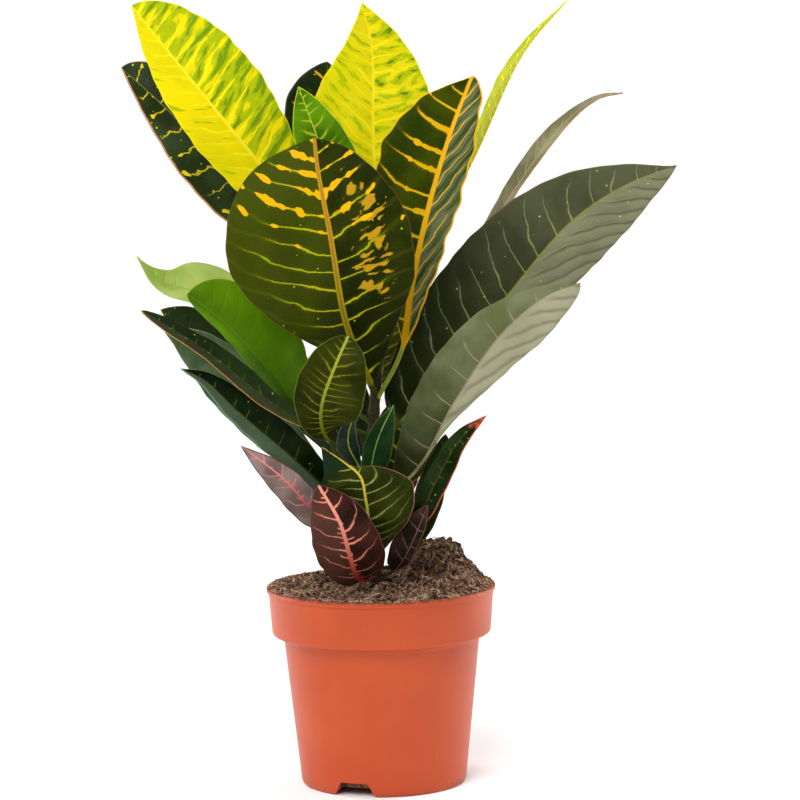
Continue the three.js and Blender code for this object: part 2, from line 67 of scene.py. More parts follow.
# A leaf's row: its look, the name of its colouring. start: height on the stem where its stalk springs. stalk:
# share of the spine that is stalk. fold: how far each half is raised to the patterned side, in degrees; one
# number is for both halves. wave: height, number and phase of the waves of the margin. left, right: each half
# of the blade, [width, peak, base, tip]. face: the ways the patterned side looks, from stalk to tip. spine:
# the points that the midrib runs through.
LEAF_KEYS = ("look", "start", "stalk", "fold", "wave", "left", "right", "face", "spine")
LEAF_ROWS = {
    "broad_front": ("olive", 222, 0.07, [14, 10], [1.6, 2, 0], [59, 0.62, 3, 0.72], [45, 0.6, 1.2, 0.95],
        [[0.05, -1, 0], [0.05, -1, 0.25], [-0.3, -0.8, 0.6]],
        [[-6, -18, 235], [-17, -40, 268], [-24, -55, 316], [-30, -50, 350], [-32, -36, 368]]),
    "yellow_left": ("yellow", 250, 0.14, 14, [1.3, 2, 0], [25, 0.6, 1.5, 1.1], [33, 0.7, 2, 0.6],
        [[0.28, -1, 0.23]], [[-17, -4, 292], [-63, -6, 352], [-99, -6, 398], [-134, 6, 442]]),
    "dark_left": ("dark", 246, 0.14, [12, 8], [1.3, 2, 1], [21, 0.6, 1.4, 1], [24, 0.7, 1.2, 0.5],
        [[0.1, -1, 0.2]], [[-32, 28, 290], [-80, 40, 339], [-115, 42, 380], [-143, 38, 407]]),
    "yellow_centre": ("yellow", 258, 0.15, 12, [1.5, 2, 0.5], [38, 0.48, 1.2, 1.2], [38, 0.48, 1.2, 1.1],
        [[0, -1, 0.1]], [[2, 14, 308], [0, 20, 364], [0, 22, 415], [-5, 12, 442]]),
    "striped_right": ("olive", 216, 0.18, [12, 24], [1.8, 2.5, 0.3], [35, 0.66, 1.4, 1.1],
        [19, 0.62, 1, 0.5], [[-0.1, -1, 0.15]],
        [[14, -7, 247], [20, -12, 281], [30, -16, 326], [43, -14, 368], [56, -4, 400]]),
    "dark_back": ("dark", 254, 0.15, 12, [1, 2, 0], [22, 0.78, 1.2, 0.7], [24, 0.6, 1.2, 0.8],
        [[0, -1, 0.1]], [[-8, 32, 300], [-30, 56, 360], [-26, 68, 408]]),
    "green_young": ("light", 262, 0.15, 10, [0.8, 2, 0], [14, 0.7, 1.2, 1], [18, 0.6, 1.2, 0.9],
        [[0, -1, 0.2]], [[-12, -12, 310], [-30, -16, 365], [-41, -14, 396]]),
    "yellow_right": ("yellow", 252, 0.14, [14, 30], [1, 2, 0], [12, 0.55, 1.2, 0.9], [14, 0.5, 1.2, 1.1],
        [[-0.78, -0.24, 0.58]], [[28, 30, 301], [58, 44, 355], [86, 48, 411], [112, 52, 441]]),
    "grey_right": ("grey", 235, 0.14, 5, [1, 2, 0], [14, 0.6, 1, 0.8], [11, 0.5, 1.2, 1],
        [[-0.62, -0.26, 0.72]],
        [[43, 40, 274], [82, 62, 334], [112, 70, 371.5], [131, 73, 384.5], [145, 75, 387]]),
    "long_right": ("dark", 188, 0.09, 14, [1.5, 2.5, 0], [39, 0.42, 0.45, 1.3], [28, 0.66, 1.2, 0.9],
        [[0, -1, 0.1], [0, -1, 0.2]],
        [[35, 6, 230], [69, 12, 269], [111, 18, 316], [142, 22, 336], [172, 26, 347]]),
    "long_right_low": ("grey", 159, 0.1, [12, 16], [1.2, 2.5, 0.5], [24, 0.46, 0.55, 1.4],
        [19, 0.76, 3.6, 0.6], [[0.1, -1, 0.1]],
        [[21, -14, 180], [43, -30, 220], [69, -38, 258], [94, -40, 279], [113, -38, 286]]),
    "light_left": ("light", 198, 0.2, [-55, 12], [1.5, 2, 0], [8, 0.6, 1, 0.6], [28, 0.6, 1, 0.45],
        [[0.42, -1, 0.39]], [[-43, -14, 216], [-63, -27, 243], [-83, -33, 266], [-104, -34, 283]]),
    "light_left_back": ("light", 204, 0.2, [10, 20], [1.2, 2, 1], [16, 0.62, 1.4, 0.9],
        [24, 0.62, 1.2, 2.2], [[0.33, -0.57, 0.74], [0.33, -0.5, 0.74]],
        [[-40, -5, 236], [-77, -8, 261], [-99, -10, 281], [-118, -12, 288], [-133, -13, 303]]),
    "dark_left_top": ("dark", 168, 0.16, 12, [0.8, 2, 0], [12, 0.55, 1, 0.7], [10, 0.6, 1, 0.6],
        [[0.5, -0.45, 0.7], [0.5, -0.5, 0.7]],
        [[-33, -22, 204], [-50, -36, 216], [-66, -45, 229], [-94, -50, 253], [-129, -44, 275]]),
    "dark_left_back": ("dark", 178, 0.18, 12, [1, 2, 0], [16, 0.6, 1.2, 1], [18, 0.7, 1.2, 0.8],
        [[0.1, -0.9, 0.4]], [[-44, 2, 208], [-81, 2, 236], [-104, 0, 258], [-121, -4, 272]]),
    "blue_left": ("dark", 150, 0.15, [8, 14], [1, 2, 0], [19, 0.66, 1, 0.9], [13, 0.6, 1, 0.9],
        [[-0.2, -1, 0.1]],
        [[-36, -12, 182], [-64, -12, 214], [-90, -14, 246], [-108, -15, 258], [-119, -16, 262]]),
    "dark_left_low": ("dark", 142, 0.15, [25, 0], [0.8, 2, 0], [8, 0.45, 0.8, 0.8], [13, 0.5, 1, 1],
        [[-0.1, -1, 0.2]],
        [[-45, -32, 188], [-62, -38, 204], [-78, -42, 219], [-95, -44, 236], [-108, -46, 243]]),
    "olive_small": ("olive", 156, 0.4, 10, [0.6, 2, 0], [17, 0.62, 1.2, 0.6], [23, 0.6, 1, 0.6],
        [[0, -1, 0], [0, -1, 0.25], [0, -1, 0.35]],
        [[-16, -12, 178], [-26, -24, 196], [-31, -42, 209], [-30, -56, 224], [-22, -67, 246], [-15, -64, 261]]),
    "folded_front": ("olive", 121, 0.12, [4, 6], [0.5, 2, 0], [27, 0.68, 1.4, 0.8], [28, 0.62, 2, 14],
        [[0, -0.7, -0.7], [0, -1, 0], [0, -1, 0.2], [0, -0.9, 0.5], [0, -0.35, 1]],
        [[-3, -18, 132], [-5, -34, 148], [-7, -44, 166], [-10, -46, 181], [-18, -42, 188], [-31, -40, 197]]),
    "red_front": ("red", 117.5, 0.16, 10, [0.5, 2, 0], [19, 0.6, 1, 0.7], [20, 0.45, 0.8, 0.8],
        [[0, -0.6, -0.9], [0, -1, 0], [0, -1, 0.2], [0, -1, 0.2]],
        [[-8, -12, 118], [-13, -27, 122], [-17, -44, 138], [-22, -56, 158], [-33, -59, 178.5]]),
    "red_left": ("red", 127, 0.28, 14, [0.5, 2, 0], [10.5, 0.5, 0.9, 1], [9, 0.45, 0.8, 1.1],
        [[0, -1, 0.2]], [[-38, -34, 162], [-52, -42, 179.5], [-76, -44, 199.5]]),
    "red_tip_right": ("dark", 136, 0.2, 20, [0.5, 2, 0], [7, 0.5, 0.8, 0.8], [9, 0.5, 1, 1],
        [[-0.3, -1, 0.3]], [[20, -28, 153], [32, -40, 177], [45, -44, 200], [60, -46, 214]]),
    "dark_right_low": ("dark", 123, 0.12, 14, [0.5, 2, 0], [9, 0.5, 0.8, 0.7], [9, 0.6, 1, 0.6],
        [[-0.1, -1, 0.2]], [[9, -9, 125], [17, -12, 137], [24, -11, 152], [32, -8, 178], [38, -5, 199]]),
    "red_right_low": ("red", 119, 0.24, 14, [0.4, 2, 0], [11, 0.45, 0.6, 0.8], [5, 0.5, 1, 0.7],
        [[0, -0.6, -0.9], [-0.3, -1, 0], [-0.3, -1, 0.2]],
        [[5, -10, 121], [12, -21, 129], [20, -34, 146], [27, -42, 164]]),
    "green_inner": ("dark", 162, 0.2, 12, [0.5, 2, 0], [7, 0.5, 0.8, 1], [10, 0.5, 0.8, 1], [[0, -1, 0.2]],
        [[-3, -9, 169], [-4, -17, 182], [0, -20, 199], [9, -22, 218]]),
    "grey_inner": ("grey", 160, 0.35, 12, [0.5, 2, 0], [7, 0.55, 1.2, 1], [6, 0.5, 1.2, 1], [[0, -1, 0.2]],
        [[-11, -12, 182], [-16.5, -20, 195], [-16, -26, 205], [-12, -29, 214]]),
    "far_crown": ("yellow", 244, 0.16, 12, [1.5, 2, 0], [25, 0.5, 1, 0.9], [25, 0.5, 1, 0.9],
        [[0, -0.5, 0.8], [0, -0.2, 1]], [[6, 34, 268], [0, 66, 306], [-10, 104, 330]]),
    "far_left": ("dark", 240, 0.16, 12, [1.5, 2, 1], [25, 0.55, 1, 0.9], [25, 0.55, 1, 0.9],
        [[0.3, -0.3, 0.9], [0.3, -0.1, 1]], [[-30, 36, 268], [-58, 66, 290], [-82, 96, 302]]),
    "far_right": ("dark", 228, 0.14, 14, [1.5, 2, 2], [25, 0.5, 1, 1], [25, 0.5, 1, 1],
        [[-0.3, -0.4, 0.9], [-0.2, -0.1, 1]], [[30, 32, 250], [62, 66, 274], [88, 104, 286]]),
    "far_middle": ("olive", 214, 0.14, 12, [1.5, 2, 3], [27, 0.5, 1, 0.9], [27, 0.5, 1, 0.9],
        [[0, -0.4, 0.9], [0, 0, 1]], [[3, 38, 238], [0, 82, 258], [-6, 124, 262]]),
    "far_left_low": ("dark", 164, 0.16, 14, [1.2, 2, 0], [21, 0.5, 1, 0.9], [21, 0.5, 1, 0.9],
        [[0.3, -0.3, 0.9], [0.2, 0, 1]], [[-30, 30, 190], [-54, 62, 212], [-72, 94, 222]]),
    "far_right_low": ("olive", 158, 0.2, 14, [1.2, 2, 1], [19, 0.45, 0.8, 0.9], [19, 0.45, 0.8, 0.9],
        [[0, -1, 0.3]], [[8, 13, 169], [14, 21, 186], [18, 28, 207], [19, 31, 228]]),
    "far_low": ("dark", 176, 0.2, 14, [1, 2, 0], [13, 0.45, 0.8, 0.9], [10.5, 0.45, 0.8, 0.9],
        [[0, -1, 0.3]], [[-8, 10, 187], [-12, 19, 203], [-12, 25, 219], [-11, 28, 231]]),
    "far_lowest": ("red", 138, 0.2, 14, [0.8, 2, 0], [12, 0.5, 1, 1], [12, 0.5, 1, 1],
        [[-0.1, -0.3, 0.9], [0, 0, 1]], [[6, 24, 154], [14, 46, 168], [20, 68, 174]]),
}
LEAVES = {name: SimpleNamespace(**dict(zip(LEAF_KEYS, row))) for name, row in LEAF_ROWS.items()}

# ---------------------------------------------------------------- the leaves' colourings
# Lengths are millimetres, colours linear RGB. Where BY_HALF names the key, a pair of numbers is for the left
# and the right half of the blade, and one number is for both.
# ground: two tones of the blade, mixed in clouds. pale, pale_tone: amount of painted sheen, a lighter tone over
# a half that stands for light falling on it, and the tone. foot, foot_reach: painted shade, a darker tone at the
# stalk's end of the blade, and the share of the blade where it ends. pleat: how dark the painted shade in the
# hollows along the veins is. deep: how dark the painted shade beside the midrib is.
# spacing, slant, curl: the side veins' distance, and how they lean and bend to the tip. puff: how far the
# blade swells between them. ruffle: how uneven the margin's line is. net: strength of the finest veins.
# drift, ragged: how far the side veins stray from even lines, in the large and in the small.
# vein, vein_width, gain: colours near and far from the midrib, half-width and strength. reach: how far out
# the veins show. halo: the light along them. bead: radius of the blob at a vein's end.
# streaks, blotches, dabs: coverage of the marks along the veins, across them and between them, -1 for none.
# streak_zone, zone: the shares of the blade where streaks and blotches lie. flecks: coverage of the dots.
# rib, rib_width, rib_taper: the midrib's colours at the base and the tip, half-width and narrowing. core: how
# dark its middle line is. edge, edge_width: the margin's colour and width. tip: a colour from the share
# tip_from on. under: the underside. gloss: roughness. shine: specular level. thorns: short strokes out of the
# midrib.
PLAIN = dict(
    ground=((0.028, 0.036, 0.0006), (0.056, 0.07, 0.001)), pale=0, foot=None, pleat=0, deep=0, spacing=9,
    slant=0.38, curl=0.25, puff=0.5, ruffle=0.4, net=0.06, drift=0.15,
    vein=((0.55, 0.45, 0.004), (0.25, 0.28, 0.004)), vein_width=0.3, reach=0.6, gain=0.9, halo=0.12, bead=0,
    ragged=0.9, streak=(0.75, 0.42, 0.003), streaks=-0.1, streak_width=1.3, streak_length=8, blotches=-1,
    streak_zone=(0.1, 0.9), dabs=-1, dab_length=11, flecks=0, fleck=(0.6, 0.55, 0.01),
    rib=((0.3, 0.32, 0.01), (0.5, 0.25, 0.02)), rib_width=1.5, rib_taper=0.7, core=0.35,
    edge=(0.4, 0.1, 0.02), edge_width=0.3, tip=None, stalk=(0.05, 0.07, 0.01), gloss=0.46, shine=0.03,
    under=(0.12, 0.17, 0.03), thorns=False,
)
LOOKS = {
    "olive": {},
    "yellow": dict(
        ground=((0.9, 0.72, 0.001), (0.74, 0.68, 0.001)), slant=(0.6, 0.36), curl=0.2, puff=(0.4, 0.6),
        ruffle=0.7, net=0.04, vein=((0.93, 0.78, 0.01), (0.9, 0.76, 0.005)), vein_width=0.5, streaks=-1,
        dab=((0.44, 0.52, 0.003), (0.13, 0.22, 0.004)), dabs=(-0.2, 0),
        rib=((0.9, 0.72, 0.02), (0.92, 0.74, 0.02)), rib_width=1.8, core=0, edge=(0.8, 0.68, 0.01),
        under=(0.5, 0.52, 0.03), stalk=(0.4, 0.42, 0.02), gloss=0.5,
    ),
    "dark": dict(
        ground=((0.004, 0.012, 0.001), (0.012, 0.028, 0.005)), spacing=12, net=0.03,
        vein=((0.14, 0.16, 0.01), (0.05, 0.08, 0.01)), vein_width=0.14, gain=0.4, halo=0.03, streaks=-0.25,
        streak=(0.7, 0.5, 0.01), streak_width=0.8, flecks=0.2, fleck_size=6,
        rib=((0.03, 0.05, 0.01), (0.05, 0.07, 0.015)), rib_width=0.8, edge=(0.2, 0.09, 0.035),
        under=(0.05, 0.09, 0.03), gloss=0.42, shine=0.07,
    ),
    "light": dict(
        puff=0.25, vein=((0.2, 0.34, 0.02), (0.14, 0.28, 0.01)), vein_width=0.16, gain=0.3, halo=0.1,
        streaks=-1, rib=((0.22, 0.34, 0.03), (0.2, 0.34, 0.03)), rib_width=0.7, core=0, edge_width=0.2,
        under=(0.3, 0.4, 0.05), stalk=(0.06, 0.1, 0.01), gloss=0.42, shine=0.06,
    ),
    "grey": dict(
        spacing=(13, 14), net=0.08, vein=((0.3, 0.27, 0.16), (0.2, 0.2, 0.12)), vein_width=0.25, gain=0.7,
        halo=0.1, streaks=-0.3, rib=((0.32, 0.27, 0.16), (0.28, 0.22, 0.14)), rib_width=0.9,
        under=(0.08, 0.1, 0.03), shine=0.06,
    ),
    "red": dict(
        ground=((0.02, 0.005, 0.003), (0.075, 0.02, 0.012)), spacing=(12, 11), slant=(0.75, 0.3), curl=0.5,
        vein=((0.75, 0.24, 0.17), (0.45, 0.16, 0.12)), vein_width=0.35, reach=0.85, halo=0.08, ragged=1,
        streaks=-1, rib=((0.62, 0.15, 0.09), (0.78, 0.28, 0.2)), core=0.15, edge=(0.1, 0.04, 0.035),
        under=(0.12, 0.04, 0.035), stalk=(0.2, 0.05, 0.03), shine=0.05, thorns=True,
    ),
}
# What sets single leaves apart from their colouring.
OWN = {
    "broad_front": dict(
        ground=((0.007, 0.012, 0.0003), (0.02, 0.028, 0.0007)), pale=(0.8, 0.08),
        pale_tone=(0.058, 0.075, 0.002), spacing=(11, 12.5), slant=(0.38, 0.42), curl=(0.15, 0),
        vein=((0.5, 0.46, 0.004), (0.3, 0.36, 0.005)), reach=0.72, streaks=0.09, streak_zone=(0.68, 1),
        streak_width=1.9, blotch=(0.46, 0.26, 0.008), blotches=(-0.45, -0.17), zone=(0.38, 0.72),
        flecks=0.12, fleck=(0.4, 0.46, 0.01), fleck_size=5, rib=((0.22, 0.2, 0.003), (0.55, 0.27, 0.02)),
        rib_width=2.3, rib_taper=0.5, foot=(0.006, 0.009, 0.0003), foot_reach=(0.72, 0.8),
        edge=(0.14, 0.06, 0.02), edge_width=0.1, net=0.03,
    ),
    "yellow_left": dict(
        ground=((0.72, 0.62, 0.003), (0.84, 0.68, 0.003)), dab=((0.38, 0.46, 0.003), (0.17, 0.28, 0.004)),
        dabs=(-0.2, 0.12), curl=(0.2, 0),
    ),
    # dark_left: the blue of its second ground tone is partly painted sheen.
    "dark_left": dict(
        ground=((0.006, 0.018, 0.003), (0.022, 0.045, 0.018)), vein=((0.75, 0.6, 0.01), (0.75, 0.6, 0.01)),
        vein_width=0.3, spacing=(14, 15), slant=(0.1, 0.4), reach=0.75, gain=0.9, bead=1.7, flecks=0.3,
        ragged=1.8, edge=(0.55, 0.26, 0.12), edge_width=(0.8, 0.4), shine=0.25,
        rib=((0.5, 0.5, 0.02), (0.3, 0.3, 0.05)), drift=0.5,
    ),
    "yellow_centre": dict(
        ground=((0.72, 0.64, 0.004), (0.82, 0.7, 0.008)), slant=(0.8, 0.2), dabs=(-0.08, 0.02),
        dab_length=7, rib_width=1.5, curl=(0.2, 0),
    ),
    "striped_right": dict(
        ground=((0.018, 0.034, 0.0006), (0.045, 0.062, 0.001)), net=0.02, stalk=(0.3, 0.37, 0.04),
        spacing=(12, 13), slant=(0.05, 1.8), puff=(0.6, 2), pale=(0, 0.8), pale_tone=(0.17, 0.19, 0.1),
        vein=((0.8, 0.46, 0.004), (0.7, 0.42, 0.006)), vein_width=0.8, reach=0.85, streaks=(0.02, -0.12),
        streak_width=1.9, dab=((0.05, 0.08, 0.02), (0.02, 0.04, 0.006)), dabs=(-1, 0), dab_length=14,
        rib=((0.75, 0.4, 0.006), (0.8, 0.42, 0.01)), rib_width=2.2, rib_taper=0.45, core=0,
        edge=(0.7, 0.38, 0.01), edge_width=(0.3, 0.7), ruffle=1.3,
    ),
    "dark_back": dict(streaks=0.05, streak=(0.7, 0.33, 0.02), flecks=0.5, fleck=(0.75, 0.4, 0.02)),
    "green_young": dict(
        ground=((0.04, 0.13, 0.0005), (0.1, 0.25, 0.001)), vein=((0.45, 0.55, 0.02), (0.36, 0.48, 0.015)),
        vein_width=0.2, gain=0.8, halo=0.15, spacing=6, edge=(0.4, 0.5, 0.02), edge_width=0.3,
        rib=((0.5, 0.55, 0.02), (0.5, 0.55, 0.03)), rib_width=0.9,
    ),
    "yellow_right": dict(ground=((0.36, 0.42, 0.02), (0.47, 0.52, 0.045)), dabs=-1, rib_width=0.8),
    # grey_right: its grey ground is partly painted sheen over the leaf's green.
    "grey_right": dict(
        ground=((0.16, 0.15, 0.07), (0.27, 0.25, 0.14)), slant=(0.6, 0.9), puff=0.9, spacing=8,
        edge=(0.5, 0.2, 0.12), edge_width=(0.6, 0.3), gain=0.9, pleat=(0.3, 0.4),
        pale_tone=(0.3, 0.27, 0.16), rib=((0.5, 0.4, 0.24), (0.5, 0.36, 0.24)),
    ),
    "long_right": dict(
        ground=((0.009, 0.014, 0.0004), (0.026, 0.033, 0.002)), pale=(0.45, 0.95),
        pale_tone=(0.215, 0.227, 0.13), foot=(0.01, 0.015, 0.0004), foot_reach=(1.1, 0.1),
        pleat=(0.15, 0.8), spacing=(14, 16), slant=(0.35, 1.9), puff=(0.9, 2.8),
        vein=((0.32, 0.33, 0.1), (0.24, 0.25, 0.13)), vein_width=0.22, gain=0.7, flecks=0.12,
        fleck=(0.5, 0.5, 0.06), fleck_size=5, edge=(0.2, 0.1, 0.06),
        rib=((0.2, 0.25, 0.02), (0.3, 0.32, 0.04)), streaks=-1, reach=0.85, ragged=0.5, shine=0.04,
    ),
    "long_right_low": dict(
        ground=((0.08, 0.105, 0.02), (0.135, 0.16, 0.065)), pale=(0.2, 0.85), pale_tone=(0.37, 0.355, 0.24),
        foot=(0.018, 0.027, 0.0008), foot_reach=(0.9, 0.3), pleat=(0.1, 0.6), edge=(0.2, 0.2, 0.12),
        edge_width=-0.1, slant=(0.2, 2.3), puff=(0.8, 2.8), spacing=(15, 18), streaks=-1, ragged=0.5,
    ),
    "light_left": dict(
        ground=((0.05, 0.13, 0.0005), (0.095, 0.23, 0.001)), deep=0.4,
        rib=((0.03, 0.07, 0.003), (0.09, 0.18, 0.004)), rib_width=0.8, gain=0.04, halo=0, net=0.02,
        foot=(0.018, 0.045, 0.0008), foot_reach=(0.9, 0.14), pale=(0, 0.5), pale_tone=(0.1, 0.22, 0.001),
        edge=(0.2, 0.34, 0.02), edge_width=(0.1, 0),
    ),
    "light_left_back": dict(
        ground=((0.26, 0.38, 0.05), (0.4, 0.5, 0.12)), vein=((0.4, 0.5, 0.1), (0.4, 0.5, 0.1)), shine=0.3,
        under=(0.4, 0.5, 0.14), edge=(0.3, 0.36, 0.1),
    ),
    "dark_left_top": dict(
        pale=(0.22, 0), pale_tone=(0.13, 0.12, 0.075), foot=(0.04, 0.055, 0.005), foot_reach=(0.6, 0.5),
        edge=(0.55, 0.27, 0.06), edge_width=(0.1, -0.5), flecks=0.25, fleck=(0.7, 0.5, 0.01),
    ),
    "dark_left_back": dict(ground=((0.02, 0.036, 0.012), (0.045, 0.065, 0.03))),
    # blue_left: its ground is the leaf's blue-green lightened with painted sheen, and its pale green edge is a
    # painted highlight along the margin.
    "blue_left": dict(
        ground=((0.045, 0.08, 0.032), (0.11, 0.165, 0.085)), flecks=0, edge=(0.22, 0.3, 0.17),
        edge_width=0.1,
    ),
    # dark_left_low: its pale green edge is a painted highlight along the margin.
    "dark_left_low": dict(
        ground=((0.0015, 0.005, 0.0005), (0.005, 0.014, 0.002)), pale=(1.1, 0),
        pale_tone=(0.07, 0.11, 0.06), flecks=0.15, fleck_size=4, edge=(0.2, 0.28, 0.15),
        edge_width=(0.1, 0.05), shine=0.04,
    ),
    "olive_small": dict(
        ground=((0.012, 0.015, 0.0004), (0.03, 0.036, 0.001)), spacing=5, slant=0.5, curl=0,
        vein=((0.2, 0.22, 0.01), (0.06, 0.08, 0.004)), vein_width=0.2, reach=0.75, gain=0.7, halo=0.1,
        streaks=-1, rib=((0.12, 0.14, 0.007), (0.33, 0.36, 0.035)), rib_width=1.1, rib_taper=0.2, core=0.1,
        edge=(0.12, 0.16, 0.015), edge_width=0.2, foot=(0.012, 0.016, 0.0005), foot_reach=(0.8, 0.4),
    ),
    "folded_front": dict(
        ground=((0.011, 0.016, 0.0006), (0.028, 0.036, 0.002)), spacing=7, slant=(0.45, 0.3), curl=0.4,
        vein=((0.42, 0.45, 0.1), (0.2, 0.23, 0.06)), vein_width=0.16, reach=0.85, gain=0.6, halo=0.06,
        streaks=-1, rib=((0.36, 0.43, 0.04), (0.56, 0.42, 0.04)), rib_width=0.9, deep=0.3, rib_taper=0.2,
        core=0, edge=(0.4, 0.14, 0.1), edge_width=(0.4, 0.2), tip=(0.012, 0.028, 0.009), tip_from=0.8,
    ),
    "red_front": dict(
        ground=((0.008, 0.0025, 0.0012), (0.04, 0.012, 0.0065)), pale=(0.7, 0),
        pale_tone=(0.1, 0.04, 0.027), halo=0.1, spacing=12, slant=(0.9, 0.4), curl=(0.3, 0.6),
        rib=((0.45, 0.05, 0.03), (0.75, 0.28, 0.2)), rib_width=1.7, rib_taper=0.5, vein_width=0.6, core=0,
    ),
    "red_left": dict(
        ground=((0.14, 0.09, 0.08), (0.27, 0.2, 0.18)), rib=((0.6, 0.05, 0.08), (0.75, 0.25, 0.25)),
        vein=((0.7, 0.16, 0.17), (0.45, 0.25, 0.23)), vein_width=0.3, rib_width=1.1,
    ),
    "red_tip_right": dict(
        ground=((0.004, 0.011, 0.0015), (0.01, 0.022, 0.004)), tip=(0.5, 0.07, 0.04), tip_from=0.9,
        pale=(0.3, 0), pale_tone=(0.03, 0.05, 0.015), edge=(0.45, 0.08, 0.05), edge_width=(-0.5, 0.3),
        shine=0.02, rib=((0.03, 0.05, 0.01), (0.08, 0.05, 0.02)), flecks=0.25, fleck_size=4,
    ),
    "dark_right_low": dict(
        ground=((0.005, 0.012, 0.0015), (0.012, 0.02, 0.004)), edge=(0.08, 0.08, 0.02),
        stalk=(0.03, 0.03, 0.01),
    ),
    "red_right_low": dict(
        ground=((0.008, 0.004, 0.002), (0.035, 0.018, 0.012)), vein=((0.25, 0.15, 0.12), (0.2, 0.13, 0.1)),
        rib=((0.14, 0.08, 0.06), (0.3, 0.2, 0.16)), rib_width=0.5, thorns=False, vein_width=0.15, gain=0.5,
        stalk=(0.05, 0.02, 0.012),
    ),
    "green_inner": dict(
        ground=((0.006, 0.026, 0.004), (0.018, 0.06, 0.014)), rib=((0.2, 0.36, 0.04), (0.3, 0.45, 0.08)),
        gain=0, rib_width=0.45, rib_taper=0.2, streaks=-1, flecks=0, edge=(0.06, 0.12, 0.03), core=0,
    ),
    "grey_inner": dict(
        ground=((0.012, 0.024, 0.014), (0.045, 0.065, 0.045)), rib=((0.4, 0.5, 0.06), (0.45, 0.5, 0.1)),
        core=0, rib_width=0.7, puff=0.5, slant=0.5, edge=(0.1, 0.13, 0.1), gain=0,
    ),
    # far_right_low: its darkened ground is painted shade for the shadowed gap it fills.
    "far_right_low": dict(ground=((0.012, 0.018, 0.001), (0.026, 0.034, 0.002)), streaks=-0.2),
}
# The keys whose value may be a pair, for the left and the right half.
BY_HALF = ("pale", "foot_reach", "pleat", "spacing", "slant", "curl", "puff", "streaks", "blotches", "dabs",
           "edge_width")

# ---------------------------------------------------------------- curves and numbers


def mm(points):
    """Points measured from the pot's axis in millimetres, as metres in the row frame."""
    return (np.asarray(points, float) + (*POT_AT, 0)) * 0.001


def unit(vectors):
    return vectors / np.linalg.norm(vectors, axis=-1, keepdims=True)


def halves(value):
    """The numbers for the left and the right half. A plain number is for both."""
    return value if isinstance(value, (tuple, list)) else (value, value)


def smoothstep(x, low, high):
    share = np.clip((x - low) / (high - low), 0, 1)
    return share * share * (3 - 2 * share)


def curve_through(points, steps=80):
    """A centripetal Catmull-Rom curve through the points, as many close points."""
    p = np.array(points, float)
    p = np.vstack([2 * p[0] - p[1], p, 2 * p[-1] - p[-2]])
    share = np.linspace(0, 1, steps, endpoint=False)[:, None]
    spans = []
    for a, b, c, d in zip(p, p[1:], p[2:], p[3:]):
        ab, bc, cd = (max(np.dot(y - x, y - x) ** 0.25, 1e-4) for x, y in ((a, b), (b, c), (c, d)))
        start = ((b - a) / ab - (c - a) / (ab + bc) + (c - b) / bc) * bc
        end = ((c - b) / bc - (d - b) / (bc + cd) + (d - c) / cd) * bc
        spans.append(b + start * share + (3 * (c - b) - 2 * start - end) * share**2
                     + (2 * (b - c) + start + end) * share**3)
    return np.vstack([*spans, p[-2]])


STEM_CURVE = curve_through(STEM_LINE)


def stem_point(z):
    return [np.interp(z, STEM_CURVE[:, 2], STEM_CURVE[:, k]) for k in (0, 1)] + [z]


def polar(radius, turn):
    return radius * math.cos(turn), radius * math.sin(turn)


def ring_faces(rows, count):
    """The faces between one ring of count points and the next."""
    return [(i * count + j, i * count + (j + 1) % count, (i + 1) * count + (j + 1) % count, (i + 1) * count + j)
            for i in range(rows - 1) for j in range(count)]


def tube_faces(rows, count, start=0):
    """The faces of a tube of rings, closed at both ends."""
    ends = [range(count - 1, -1, -1), range((rows - 1) * count, rows * count)]
    return [tuple(start + k for k in face) for face in [*ring_faces(rows, count), *ends]]


# ---------------------------------------------------------------- materials


class Field:
    """A number or colour that a material's nodes work out over the surface."""

    def __init__(self, paint, socket):
        self.paint, self.socket = paint, socket

    def math(self, operation, *others):
        return self.paint.node("Math", dict(enumerate((self, *others))), operation=operation)

    def __rsub__(self, other):
        return self.math("MULTIPLY", -1).math("ADD", other)

    def between(self, low, high):
        """0 at low, 1 at high, with soft ends."""
        inputs = {"Value": self, "From Min": low, "From Max": high}
        return self.paint.node("MapRange", inputs, interpolation_type="SMOOTHSTEP")


for method, kind in dict(__add__="ADD", __sub__="SUBTRACT", __mul__="MULTIPLY", __truediv__="DIVIDE",
                         __abs__="ABSOLUTE", floor="FLOOR", above="GREATER_THAN", at_least="MAXIMUM").items():
    setattr(Field, method, lambda self, *others, kind=kind: self.math(kind, *others))


